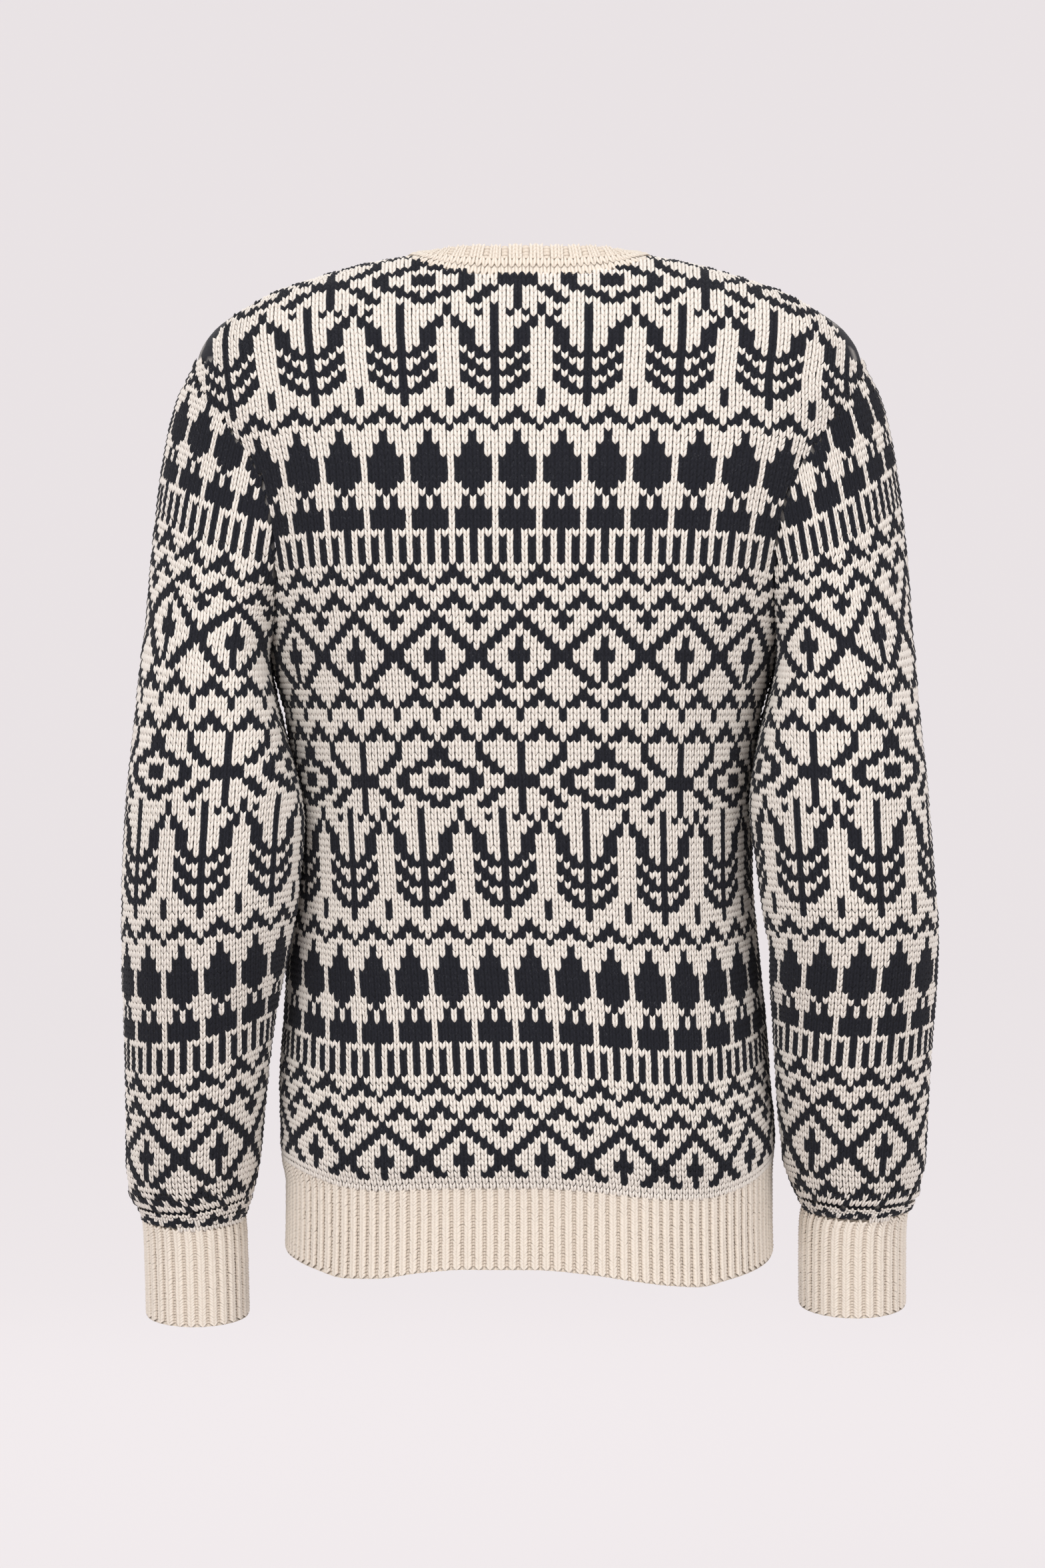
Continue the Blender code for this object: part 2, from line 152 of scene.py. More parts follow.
# Hem seam and hem edge heights, from the right side seam (-1000) to the left one (1000).
HEM = table("turn seam edge", [
    (-1000, -585.5, -647), (-850, -592, -653), (-700, -600, -658), (-550, -606.5, -662.5),
    (-450, -609, -665.5), (-350, -608.5, -664), (-240, -606, -660.5), (-130, -602.5, -656),
    (0, -600, -652.5), (130, -600.2, -652.5), (250, -601, -655), (380, -603, -659.5),
    (500, -601.5, -660.3), (640, -596, -656), (800, -590, -651), (1000, -586.5, -646),
])

# Levels of the left sleeve: outermost and innermost x, middle and half depth in y.
SLEEVE = table("z outer inner middle deep", [
    (-60, 219, 14, 0, 66), (-90, 233.5, 32, 0, 66), (-115, 239.5, 58, 1, 66),
    (-165, 246, 98, 4, 66), (-206, 249.5, 130, 11, 65), (-240, 251.5, 148, 21, 63),
    (-262, 254, 153, 30, 62), (-300, 257, 150, 45, 60), (-359, 262, 146, 57, 58),
    (-421, 264.5, 151, 58, 57), (-462, 264.5, 159, 52, 55), (-495, 264, 166, 43, 53),
    (-542, 263.5, 172, 33, 50), (-588, 264, 177, 22, 46), (-611, 261.5, 182, 16, 42),
    (-627, 254.5, 187, 12, 36), (-640, 253.5, 190, 9, 33), (-700, 252.5, 193, -3, 32),
])

# How much closer in the right sleeve's outer and inner sides hang.
RIGHT = table("z outer inner", [
    (-200, 0, 0), (-240, 0.5, 6), (-262, 1.5, 9), (-300, 2.5, 10), (-340, 2.5, 5.5),
    (-396, 1.5, 0), (-440, -1, -0.5), (-484, 0, 6), (-520, 1.5, 9), (-557, 3, 10.5),
    (-588, 4.5, 10), (-611, 6.5, 6.5), (-627, 6, 3.5), (-700, 4, 0),
])

# How far the neckband leans in and rises, by angle round the neck from the back.
BAND = table("angle lean rise", [
    (0, 12, 20.5), (25, 13, 19), (38, 14.5, 15), (50, 17, 8), (62, 19, 4), (90, 19, 5),
    (130, 15, 13), (180, 11, 19),
])
BAND["angle"] *= 1000

# Width of a wale at the middle of a panel, and how far the back's middle wale drifts.
WALES = table("z pitch drift", [
    (10, 5.12, 7.6), (-35, 5.1, 7.4), (-110, 4.84, 6.9), (-141, 4.75, 6.6), (-176, 4.67, 5.4),
    (-255, 4.56, 2.7), (-345, 4.48, 0.5), (-429, 4.38, -3.6), (-572, 4.28, -10.6),
    (-620, 4.26, -12),
])

# Heights of the courses at the middle of the back: a course's number and its stitches' foot.
COURSES = table("course z", [
    (-12.7, -11.4), (0, -63.3), (6, -87), (12, -110.3), (17, -131.2), (25, -165.1),
    (29, -182.9), (35, -209.6), (40, -230.3), (43, -242.9), (49, -268), (55, -292.5),
    (60, -313.9), (65, -335), (68, -348), (74, -373.1), (78, -390.3), (81, -403.2),
    (90, -440.4), (95, -459.8), (103, -493.4), (107, -510.9), (113, -536.1), (118, -555.4),
    (121, -567.1), (127, -589.1), (130, -600.2), (133, -611),
], 1.0)

# Courses round the sleeves: height at mid face, rise at the outer and the inner side.
SLEEVE_COURSES = {
    Side.LEFT: table("course z outer inner", [
        (0, -72, 38, 0), (7, -97, 38, 0), (21, -147, 37, 0), (28, -172, 33, 0), (33, -195.6, 30, 0),
        (37, -212.7, 28, 0),
        (45, -240, 20, 1), (57, -294, 6, 3), (65, -330, 3, 6), (87, -427.3, 0, 11),
        (111, -527.1, 0, 19), (120, -564, 1, 16), (135, -624, 2, 8.4), (138, -630.4, 2, 5),
        (144, -650, 2, 5),
    ], 1.0),
    Side.RIGHT: table("course z outer inner", [
        (0, -55, 46, 0), (7, -83, 46, 0), (12, -105, 46, 0), (21, -144.5, 46, 0),
        (28, -175, 44, 0), (33, -196, 38, 0), (36, -207.5, 34, 0),
        (40, -221.9, 30, 0), (46, -247, 18, 1), (57, -294, 6, 3.5), (65, -330, 4, 5),
        (87, -427.2, 4, 3), (114, -536.5, 10, 12), (118, -552, 9, 11), (130, -600.5, 4, 6),
        (135, -620, 3, 4), (138, -624.6, 3, 2), (144, -645, 3, 2),
    ], 1.0),
}

# Wale width round the sleeves and the chart column that lies on the outer line.
SLEEVE_WALES = {
    Side.LEFT: table("z pitch column", [
        (-60, 4.2, -21.8), (-165, 4.17, -21.6), (-390, 4.16, -20.9), (-510, 4.27, -19.8),
        (-590, 4.29, -18), (-626, 4.3, -16.8), (-660, 4.3, -16.5),
    ], 1.0),
    Side.RIGHT: table("z pitch column", [
        (-60, 3.62, 33), (-195, 3.62, 32.7), (-210, 3.7, 32.3), (-242, 4.1, 29.9),
        (-290, 4.5, 27), (-350, 4.45, 27.6), (-427, 4.35, 28.5), (-534, 4.18, 29),
        (-590, 4.1, 28.6), (-621, 4.03, 26.7), (-660, 4, 26.5),
    ], 1.0),
}
# How much wider the wales stand on the upper arm's inner side.
INNER_EASE = {Side.LEFT: 0.10, Side.RIGHT: 0.0}
# Chart column that lies 100 mm from the outer line on a sleeve's front.
FRONT_COLUMN = {Side.LEFT: -45.5, Side.RIGHT: 54.0}
PANEL_MIDDLE_COLUMN = 3
LAST_SLEEVE_COURSE = 138
LAST_PANEL_COURSE = 128
PANEL_COURSES = np.arange(-30, 133)
PANEL_WALES = np.arange(-58, 59)
PANEL_EDGE_WALE = 52
PANEL_EDGE_COURSE = 130
CHEST_WALE = 39
SHOULDER_COURSE = 0.00407

# The knitting chart: 24 columns from column -9, courses -49 to 28, '#' for the dark yarn.
CHART_FIRST_COLUMN = -9
CHART_FIRST_COURSE = -49
CHART = """
#.....#.....#.....#..... #.#.#.#.#.#.#.#.#.#.#.#. #.#.#.#.#.#.#.#.#.#.#.#.
#.#.#.#.#.#.#.#.#.#.#.#. #.#.#.#.#.#.#.#.#.#.#.#. ...#.....#.....#.....#..
..###...###...###...###. .##.##.##.##.##.##.##.## #.....#.....#.....#.....
...#.....#.....#.....#.. ..###...###...###...###. .##.##.##.##.##.##.##.##
#.....#.....#.....#..... ##...###...###...###...# .##...#...##.##...#...##
..##.....##...##.....##. #..##...##..#..##...##.. #...##.##...#...##.##...
##...###...###...###...# ##...###...###...###...# #...##.##...#...##.##...
#..##...##..#..##...##.. #.##.....##.#.##.....##. .##.......##.##.......##
...#.....#.....#.....#.. ..###...###...###...###. .##.##.##.##.##.##.##.##
#.....#.....#.....#..... #.....#.....#.....#..... ...#.....#.....#.....#..
..###...###...###...###. .##.##.##.##.##.##.##.## #.....#.....#.....#.....
##....#.....#.....#....# ##....##....#....##....# .###...##...#...##...###
...###..##..#..##..###.. ##...##...#####...##...# ##...##...#####...##...#
...###..##..#..##..###.. .###...##...#...##...### ##....##....#....##....#
...#.....#..#..#.....#.. ...#...#.#.#.#.#.#...#.. ..#.#....#....#.#....#..
.##.##...#...##.##...#.. ##...##..#..##...##..#.. ##...##..#..##...##..#..
##...##..#..##...##..#.. #.....##.#.##.....##.#.# .#...#.#####.#...#.#####
##...##..#..##...##..#.. #.....##.#.##.....##.#.# .#...#.#####.#...#.#####
##...##..#..##...##..#.. #.....##.#.##.....##.#.# ...#...#####...#...#####
...#.....#.....#.....#.. ...#.....#.....#.....#.. #.....#.....#.....#.....
##...###...###...###...# .##.##.##.##.##.##.##.## ...#.....#.....#.....#..
#.....#.....#.....#..... #.....#.....#.....#..... ##...###...###...###...#
##...###...###...###...# ###.#####.#####.#####.## ###.#####.#####.#####.##
###.#####.#####.#####.## ###.#####.#####.#####.## ##...###...###...###...#
#.....#.....#.....#..... .#...#.#...#.#...#.#...# .#...#.#...#.#...#.#...#
###.#####.#####.#####.## ###.#####.#####.#####.## ###.#####.#####.#####.##
""".split()


def smooth(xs: Array, ys: Array, x: Array) -> Array:
    """Monotone cubic interpolation through a table, flat beyond its ends.

    Args:
        xs: Places of the table's rows, rising or falling.
        ys: Values there.
        x: Where to read the table.

    Returns:
        The values at x.
    """
    order = np.argsort(xs)
    xs, ys = np.asarray(xs)[order], np.asarray(ys)[order]
    step = np.diff(xs)
    slope = np.diff(ys) / step
    tangent = np.zeros_like(ys)
    same = slope[:-1] * slope[1:] > 0
    mean = np.zeros(len(slope) - 1)
    mean[same] = 2 * slope[:-1][same] * slope[1:][same] / (slope[:-1] + slope[1:])[same]
    tangent[1:-1] = mean
    tangent[0], tangent[-1] = slope[0], slope[-1]
    x = np.clip(x, xs[0], xs[-1])
    k = np.clip(np.searchsorted(xs, x) - 1, 0, len(step) - 1)
    h, t = step[k], (x - xs[k]) / step[k]
    return ((1 + 2 * t) * (1 - t) ** 2 * ys[k] + t * (1 - t) ** 2 * h * tangent[k]
            + t * t * (3 - 2 * t) * ys[k + 1] + t * t * (t - 1) * h * tangent[k + 1])


def ease(x: Array, low: float, high: float) -> Array:
    """Smooth step from 0 at low to 1 at high."""
    t = np.clip((x - low) / (high - low), 0, 1)
    return t * t * (3 - 2 * t)


def unit(vectors: Array) -> Array:
    """The vectors at length one."""
    return vectors / np.maximum(np.linalg.norm(vectors, axis=-1, keepdims=True), 1e-12)


def grid_normals(points: Array, wrap: bool) -> Array:
    """Normals of a grid of points by central differences.

    Args:
        points: Rows and columns of points.
        wrap: Whether the columns close on themselves.

    Returns:
        Unit normals in the grid's shape.
    """
    down = np.gradient(points, axis=0)
    if wrap:
        across = (np.roll(points, -1, 1) - np.roll(points, 1, 1)) / 2
    else:
        across = np.gradient(points, axis=1)
    return unit(np.cross(across, down))


def arc_lengths(points: Array) -> Array:
    """Lengths along polylines of shape (..., steps, 3), from 0 at their start."""
    steps = np.linalg.norm(np.diff(points, axis=-2), axis=-1)
    return np.concatenate([np.zeros(steps.shape[:-1] + (1,)), np.cumsum(steps, axis=-1)], axis=-1)


def put(name: str, data: bpy.types.ID) -> Piece:
    """A new object in the scene."""
    thing = bpy.data.objects.new(name, data)
    bpy.context.scene.collection.objects.link(thing)
    return thing


def new_mesh(name: str, points: Array, faces: Array, **layers: Array) -> Mesh:
    """A smooth mesh with attributes on its points.

    Args:
        name: Name of the mesh.
        points: One row for each point.
        faces: One row of corners for each face.
        layers: A number or a vector for each point.

    Returns:
        The mesh.
    """
    mesh = bpy.data.meshes.new(name)
    mesh.from_pydata([tuple(p) for p in points], [], [tuple(f) for f in faces])
    for key, values in layers.items():
        values = np.asarray(values, np.float32)
        kind, slot = ("FLOAT_VECTOR", "vector") if values.ndim == 2 else ("FLOAT", "value")
        mesh.attributes.new(key, kind, "POINT").data.foreach_set(slot, values.ravel())
    if len(faces):
        mesh.polygons.foreach_set("use_smooth", [True] * len(faces))
    mesh.update()
    return mesh


@dataclass(frozen=True)
class Graph:
    """Fills a node tree.

    Attributes:
        tree: The node tree.
    """

    tree: bpy.types.NodeTree

    def add(self, kind: str, inputs: dict[int | str, object] | None = None,
            **settings: object) -> bpy.types.Node:
        """Add a node.

        Args:
            kind: The node's type.
            inputs: A value or a socket to link for each input.
            settings: The node's own settings.

        Returns:
            The node.
        """
        node = self.tree.nodes.new(kind)
        for key, value in settings.items():
            setattr(node, key, value)
        for key, value in (inputs or {}).items():
            if isinstance(value, Socket):
                self.tree.links.new(value, node.inputs[key])
            else:
                node.inputs[key].default_value = value
        return node


@dataclass(frozen=True)
class ArcTable:
    """Turns a length along a level section into the parameter that goes round it.

    Attributes:
        levels: Rising heights of the sections.
        length: Whole length of each section, from parameter 0 to its end.
        parameter: For each level, the parameter at even shares of the length.
    """

    levels: Array
    length: Array
    parameter: Array

    @classmethod
    def measure(cls, levels: Array, parameters: Array, points: Array) -> "ArcTable":
        """Measure sections given as points of shape (levels, parameters, 3)."""
        lengths = arc_lengths(points)
        shares = np.linspace(0, 1, 241)
        rows = [np.interp(shares * line[-1], line, parameters) for line in lengths]
        return cls(levels, lengths[:, -1], np.array(rows))

    def whole(self, z: Array) -> Array:
        """Length of the section at height z."""
        return np.interp(z, self.levels, self.length)

    def length_at(self, parameter: Array, z: Array) -> Array:
        """Length from the start to a parameter at height z, by halving on the table."""
        low, high = np.zeros(np.shape(parameter + z)), np.ones(np.shape(parameter + z))
        for _ in range(14):
            middle = (low + high) / 2
            short = self.at(middle, z) < parameter
            low, high = np.where(short, middle, low), np.where(short, high, middle)
        return (low + high) / 2 * self.whole(z)

    def at(self, share: Array, z: Array) -> Array:
        """Parameter at a share, 0 to 1, of the section's length at height z."""
        row = np.clip(np.interp(z, self.levels, np.arange(len(self.levels))), 0,
                      len(self.levels) - 1.001)
        column = np.clip(share, 0, 1) * (self.parameter.shape[1] - 1.001)
        i, j = row.astype(int), column.astype(int)
        u, v = row - i, column - j
        p = self.parameter
        return ((1 - u) * ((1 - v) * p[i, j] + v * p[i, j + 1])
                + u * ((1 - v) * p[i + 1, j] + v * p[i + 1, j + 1]))


@dataclass
class TorsoForm:
    """The worn torso's outer surface.

    Attributes:
        arcs: An arc table for each face, from its middle to its side.
    """

    arcs: dict[Face, ArcTable] = field(default_factory=dict)

    def __post_init__(self) -> None:
        """Measure both faces' sections."""
        levels = np.linspace(-0.7, NECK_SIDE_Z, 181)
        turns = np.linspace(0, 1, 241)
        for face in Face:
            points = self.point(face, turns[None, :], levels[:, None])[0]
            self.arcs[face] = ArcTable.measure(levels, turns, points)

    def value(self, name: str, z: Array) -> Array:
        """A named column of TORSO at height z."""
        return TORSO.at(name, z)

    def point(self, face: Face, turn: Array, z: Array) -> tuple[Array, Array]:
        """Point and outward normal on the torso.

        Args:
            face: The panel.
            turn: -1 at the right side seam, 0 at the middle, 1 at the left side seam.
            z: Height.

        Returns:
            Points and unit normals.
        """
        turn, z = np.broadcast_arrays(np.asarray(turn, float), np.asarray(z, float))
        half, depth = self.value("half", z), self.value(face.value, z)
        angle = turn * math.pi / 2
        across = np.sign(angle) * np.abs(np.sin(angle)) ** (2 / POWER)
        along = np.abs(np.cos(angle)) ** (2 / POWER)
        point = np.stack([half * across + self.value("shift", z), face.sign * depth * along, z], -1)
        e = 0.0005
        grow = (self.value("half", z + e) - self.value("half", z - e)) / (2 * e)
        deepen = (self.value(face.value, z + e) - self.value(face.value, z - e)) / (2 * e)
        nx = np.sign(across) * np.abs(across) ** (POWER - 1) / half
        ny = face.sign * along ** (POWER - 1) / depth
        nz = -(np.abs(across) ** POWER * grow / half + along ** POWER * deepen / depth)
        return point, unit(np.stack([nx, ny, nz], -1))

    def turn_at_x(self, x: Array, z: Array) -> Array:
        """The turn at which the section at z is x from its middle."""
        share = np.clip(np.abs(x) / self.value("half", z), 0, 1)
        return np.sign(x) * 2 / math.pi * np.arcsin(share ** (POWER / 2))

    def turn_at_depth(self, face: Face, depth: Array, z: Array) -> Array:
        """The turn, 0 to 1, at which the section at z is depth from the shoulder plane."""
        share = np.clip(np.abs(depth) / self.value(face.value, z), 0, 1)
        return 2 / math.pi * np.arccos(share ** (POWER / 2))

    def turn_at_arc(self, face: Face, arc: Array, z: Array) -> Array:
        """The turn at a signed length along the section from its middle."""
        arcs = self.arcs[face]
        return np.sign(arc) * arcs.at(np.abs(arc) / arcs.whole(z), z)

    def neck_line(self, face: Face, share: Array) -> tuple[Array, Array]:
        """Turns and heights on the neck seam, from its right end (share -1) to its left (1)."""
        x = NECK_HALF * np.sin(share * math.pi / 2)
        z = NECK.at(face.value, np.abs(x))
        turn = self.turn_at_x(x, z)
        turn[0], turn[-1] = -1, 1
        return turn, z

    def ridge(self, x: Array) -> Array:
        """Height of the shoulder ridge at x from the middle, or of the neck's side nearer in."""
        rows = TORSO["z"] >= WIDEST_Z
        return np.interp(np.abs(x), TORSO["half"][rows], TORSO["z"][rows]).clip(max=NECK_SIDE_Z)


def armhole_level(angle: Array) -> Array:
    """Height of the armhole seam at an angle from its top."""
    return ARMHOLE_MIDDLE_Z + ARMHOLE_HALF * np.cos(angle)


def hem_level(column: str, turn: Array) -> Array:
    """Height of the hem's seam or edge at a turn."""
    return HEM.at(column, turn)


@dataclass
class SleeveForm:
    """A sleeve's outer surface, led into the armhole seam.

    Attributes:
        torso: The torso that the seam lies on.
        side: The wearer's side.
        arcs: Arc tables from the outer line round the back and round the front.
    """

    torso: TorsoForm
    side: Side
    arcs: dict[Face, ArcTable] = field(default_factory=dict)

    def __post_init__(self) -> None:
        """Measure the sleeve's sections on both faces."""
        levels = np.linspace(-0.66, -0.06, 121)
        angles = np.linspace(0, math.pi, 241)
        for face in Face:
            points = self.point(face.sign * angles[None, :], levels[:, None])
            self.arcs[face] = ArcTable.measure(levels, angles, points)

    def tube(self, angle: Array, z: Array) -> Array:
        """Point on the free-hanging tube; the angle runs from the outside towards the back."""
        outer, inner, middle, deep = (SLEEVE.at(name, z) for name in list(SLEEVE)[1:])
        if self.side is Side.RIGHT:
            outer, inner = outer - RIGHT.at("outer", z), inner - RIGHT.at("inner", z)
        x = (outer + inner) / 2 + (outer - inner) / 2 * np.cos(angle)
        return np.stack([self.side.value * x, middle + deep * np.sin(angle), z + 0 * x], -1)

    def seam(self, angle: Array) -> tuple[Array, Array]:
        """Point and torso normal on the armhole seam, round both panels."""
        angle = np.asarray(angle, float) % (2 * math.pi)
        found = {}
        for face, turned in ((Face.BACK, angle), (Face.FRONT, 2 * math.pi - angle)):
            turned = np.minimum(turned, math.pi)
            z = armhole_level(turned)
            turn = self.torso.turn_at_depth(face, face.armhole * np.sin(turned), z)
            found[face] = self.torso.point(face, self.side.value * turn, z)
        is_back = (angle <= math.pi)[..., None]
        point, normal = (np.where(is_back, found[Face.BACK][k], found[Face.FRONT][k])
                         for k in (0, 1))
        return point, normal

    def point(self, angle: Array, z: Array) -> Array:
        """Point on the sleeve."""
        angle, z = np.broadcast_arrays(np.asarray(angle, float), np.asarray(z, float))
        level = armhole_level(angle)
        gap = self.seam(angle)[0] - self.tube(angle, level)
        below = np.clip((level - z) / LED_IN, 0, 1)
        fade = (1 - below) ** 2 * (1 + 2 * below)
        return self.tube(angle, z) + fade[..., None] * gap

    def seam_normal(self, angle: Array) -> Array:
        """Outward normal of the sleeve at the armhole seam, by small differences."""
        level = armhole_level(angle)
        here, lower = self.point(angle, level), self.point(angle, level - 0.002)
        turned = self.point(angle + 0.01, armhole_level(angle + 0.01))
        return unit(-self.side.value * np.cross(turned - here, lower - here))

    def angle_at_arc(self, arc: Array, z: Array) -> Array:
        """Angle at a signed length from the outer line, positive towards the back."""
        back, front = self.arcs[Face.BACK], self.arcs[Face.FRONT]
        return np.where(arc >= 0, back.at(arc / back.whole(z), z),
                        -front.at(-arc / front.whole(z), z))

    def half_round(self, arc: Array, z: Array) -> Array:
        """Length of the half section on the side that arc lies on."""
        return np.where(arc >= 0, self.arcs[Face.BACK].whole(z), self.arcs[Face.FRONT].whole(z))

    @property
    def cuff_top(self) -> float:
        """Height of the cuff seam at its sides."""
        return CUFF_SEAM_Z + (RIGHT_SLEEVE_UP if self.side is Side.RIGHT else 0)

    def cuff_seam_level(self, angle: Array) -> Array:
        """Height of the cuff seam at an angle."""
        return self.cuff_top - CUFF_TILT * CUFF_DEPTH * np.sin(angle)


@dataclass(frozen=True)
class BandChart:
    """The two-colour chart, repeated without end in both directions.

    Attributes:
        rows: One string for each course.
    """

    rows: tuple[str, ...] = tuple(CHART)

    def dark(self, columns: Array, courses: Array) -> Array:
        """1 where the dark yarn shows and 0 where the pale yarn does."""
        grid = np.array([[mark == "#" for mark in row] for row in self.rows], dtype=float)
        i = (np.asarray(courses) - CHART_FIRST_COURSE) % len(self.rows)
        j = (np.asarray(columns) - CHART_FIRST_COLUMN) % len(self.rows[0])
        return grid[i, j]


def bloom(dark: Array) -> tuple[Array, Array]:
    """How much wider and taller than its cell a stitch lies, by its yarn."""
    return 1 + DARK_BLOOM * dark - PALE_SHRINK * (1 - dark), 1 + 0.5 * DARK_BLOOM * dark


@dataclass
class StitchBed:
    """Where stitches lie: one entry for each.

    Attributes:
        foot: Place of the stitch's foot.
        facing: Outward direction.
        upward: Direction from the foot to the next course.
        cell: Width, height and depth.
        dark: 1 for the dark yarn, 0 for the pale one.
        patterned: Whether the cells are sized by their yarn.
    """

    foot: Array
    facing: Array
    upward: Array
    cell: Array
    dark: Array
    patterned: bool = False

    def joined(self, other: "StitchBed") -> "StitchBed":
        """Both beds as one."""
        return StitchBed(*(np.concatenate([getattr(self, n), getattr(other, n)])
                           for n in ("foot", "facing", "upward", "cell", "dark")))

    def area(self) -> float:
        """The flat area that the stitches cover, at their cells' own size."""
        wider, taller = bloom(self.dark) if self.patterned else (1, 1)
        return float((self.cell[:, 0] * self.cell[:, 1] / (wider * taller)).sum())


@dataclass(frozen=True)
class StitchShape:
    """A stitch to be repeated: one half of it, in cell units, which is mirrored.

    Attributes:
        name: Name of the mesh.
        points: Points (x, y, z, sunk); y in courses, z in cell depths, sunk 0 to 1, which the yarn's
            material paints as shade.
        faces: Corners of the faces on the right half.
        middle: Points that lie on the middle line and aren't doubled.
    """

    name: str
    points: tuple[tuple[float, float, float, float], ...]
    faces: tuple[tuple[int, ...], ...]
    middle: tuple[int, ...] = ()

    def build(self) -> Piece:
        """Make the mirrored mesh, with an attribute for how sunk a point is, which the material paints
        as shade.
        """
        mirror, places = {}, list(self.points)
        for k, (x, *rest) in enumerate(self.points):
            mirror[k] = k if k in self.middle else len(places)
            if k not in self.middle:
                places.append((-x, *rest))
        faces = [*self.faces, *(tuple(mirror[k] for k in reversed(f)) for f in self.faces)]
        return put(self.name, new_mesh(self.name, [p[:3] for p in places], faces,
                                       sunk=[p[3] for p in places]))


# Points: foot, foot's side, side, tip, inner edge, crotch, crest; each one's last number is how sunk it
# is, painted as shade.
PLAIN_STITCH = StitchShape("plain_stitch", (
    (0, -0.16, -0.75, 1.0), (0.25, -0.02, -0.55, 0.75), (0.5, 0.42, -0.8, 1.0),
    (0.46, 1.3, -0.35, 0.7), (0.13, 0.9, -0.3, 0.5), (0, 0.66, -0.75, 1.0),
    (0.26, 0.5, 0.55, 0.0),
), ((0, 1, 6), (1, 2, 6), (0, 6, 5), (5, 6, 4), (6, 2, 3), (6, 3, 4)), (0, 5))

# A rib's stitch is a low chevron: courses lie close, the outer ends dive into the recess.
RIB_STITCH = StitchShape("rib_stitch", (
    (0, -0.2, -0.35, 0.8), (0, 0.8, -0.25, 0.7), (0.24, 0.42, 0.0, 0.4), (0.25, 1.0, 0.5, 0.0),
    (0.25, 1.55, 0.0, 0.4), (0.52, 1.15, -1.05, 1.0), (0.52, 2.05, -1.05, 1.0),
), ((0, 2, 3), (0, 3, 1), (1, 3, 4), (2, 5, 3), (3, 5, 6), (3, 6, 4)), (0, 1))

# A purl bump at the bottom of a recess, sunk deep, so the material paints it in shade.
PURL_STITCH = StitchShape("purl_stitch", (
    (0, 0.1, -1.5, 0.9), (0, 0.55, -0.95, 0.5), (0, 1.0, -1.5, 0.9),
    (0.5, -0.15, -1.6, 1.0), (0.5, 0.35, -1.15, 0.8), (0.5, 0.8, -1.6, 1.0),
), ((0, 3, 4, 1), (1, 4, 5, 2)), (0, 1, 2))


@dataclass(frozen=True)
class KnitFinish:
    """Wool yarn in two colours, with painted shade between stitches and a little fuzz.

    Attributes:
        name: Name of the material.
        pale: Linear colour of the pale yarn.
        dark: Linear colour of the dark yarn.
        shade: Linear colour of the painted shade that pale yarn turns to in its hollows; the fibre noise
            also mixes a little of it in.
        hollow_shade: How much of that painted shade shows where a stitch is sunk.
        fuzz: How much pale hair shows over the dark yarn.
        bump: Height of the fibre bump in metres.
    """

    name: str
    pale: tuple[float, float, float] = (0.86, 0.815, 0.75)
    dark: tuple[float, float, float] = (0.0090, 0.0098, 0.0150)
    shade: tuple[float, float, float] = (0.40, 0.33, 0.27)
    hollow_shade: float = 0.75
    fuzz: float = 0.5
    bump: float = 0.00025

    def build(self) -> Finish:
        """Build the node material."""
        material = bpy.data.materials.new(self.name)
        material.use_nodes = True
        graph = Graph(material.node_tree)
        where = graph.add("ShaderNodeTexCoord").outputs["Object"]

        def attribute(name: str) -> Socket:
            return graph.add("ShaderNodeAttribute", attribute_name=name).outputs["Fac"]

        def noise(scale: float, detail: float, rough: float = 0.6,
                  stretch: tuple[float, float, float] = (1, 1, 1)) -> Socket:
            spot = graph.add("ShaderNodeMapping", {"Vector": where, "Scale": stretch})
            return graph.add("ShaderNodeTexNoise", {
                "Vector": spot.outputs["Vector"], "Scale": scale, "Detail": detail,
                "Roughness": rough}).outputs["Fac"]

        def ramp(value: Socket, low: float, high: float, start: float,
                 end: float) -> Socket:
            return graph.add("ShaderNodeMapRange", {
                "Value": value, "From Min": low, "From Max": high, "To Min": start,
                "To Max": end}).outputs["Result"]

        def mix(share: Socket, *colours: object) -> Socket:
            a, b = ((*c, 1) if isinstance(c, tuple) else c for c in colours)
            return graph.add("ShaderNodeMix", {"Factor": share, 6: a, 7: b},
                             data_type="RGBA").outputs[2]

        sunk, dark = attribute("sunk"), attribute("dark")
        blotch = ramp(noise(16, 2), 0.35, 0.65, 0, 0.16)
        fibre = noise(2600, 3, 0.7, (1, 1, 0.35))
        # Painted shade: the pale yarn turns towards the shade colour where a stitch's points are sunk.
        hollow_shade = ramp(sunk, 0.35, 1.0, 0, self.hollow_shade)
        pale = mix(blotch, self.pale, tuple(c * 0.9 for c in self.pale))
        pale = mix(ramp(fibre, 0.3, 0.75, 0, 0.22), pale, self.shade)
        pale = mix(hollow_shade, pale, self.shade)
        hair = ramp(noise(1500, 4, 0.75, (1.0, 1.0, 0.4)), 0.57, 0.72, 0, self.fuzz)
        hair = graph.add("ShaderNodeMath", {
            0: hair, 1: ramp(noise(140, 2), 0.42, 0.66, 0.15, 1)}, operation="MULTIPLY").outputs[0]
        # Painted shade: the dark yarn darkens to 45 % of its colour where a stitch's points are sunk,
        # before the pale hairs go over it.
        deep = mix(ramp(sunk, 0.3, 1.0, 0, 0.6), self.dark, tuple(c * 0.45 for c in self.dark))
        deep = mix(hair, deep, (0.17, 0.175, 0.19))
        bump = graph.add("ShaderNodeBump", {"Strength": 0.7, "Distance": self.bump,
                                            "Height": fibre})
        shader = material.node_tree.nodes["Principled BSDF"].inputs
        for key, value in (("Roughness", 0.9), ("Specular IOR Level", 0.25),
                           ("Sheen Weight", 0.06), ("Sheen Roughness", 0.5)):
            shader[key].default_value = value
        graph.tree.links.new(mix(dark, pale, deep), shader["Base Color"])
        graph.tree.links.new(bump.outputs["Normal"], shader["Normal"])
        return material


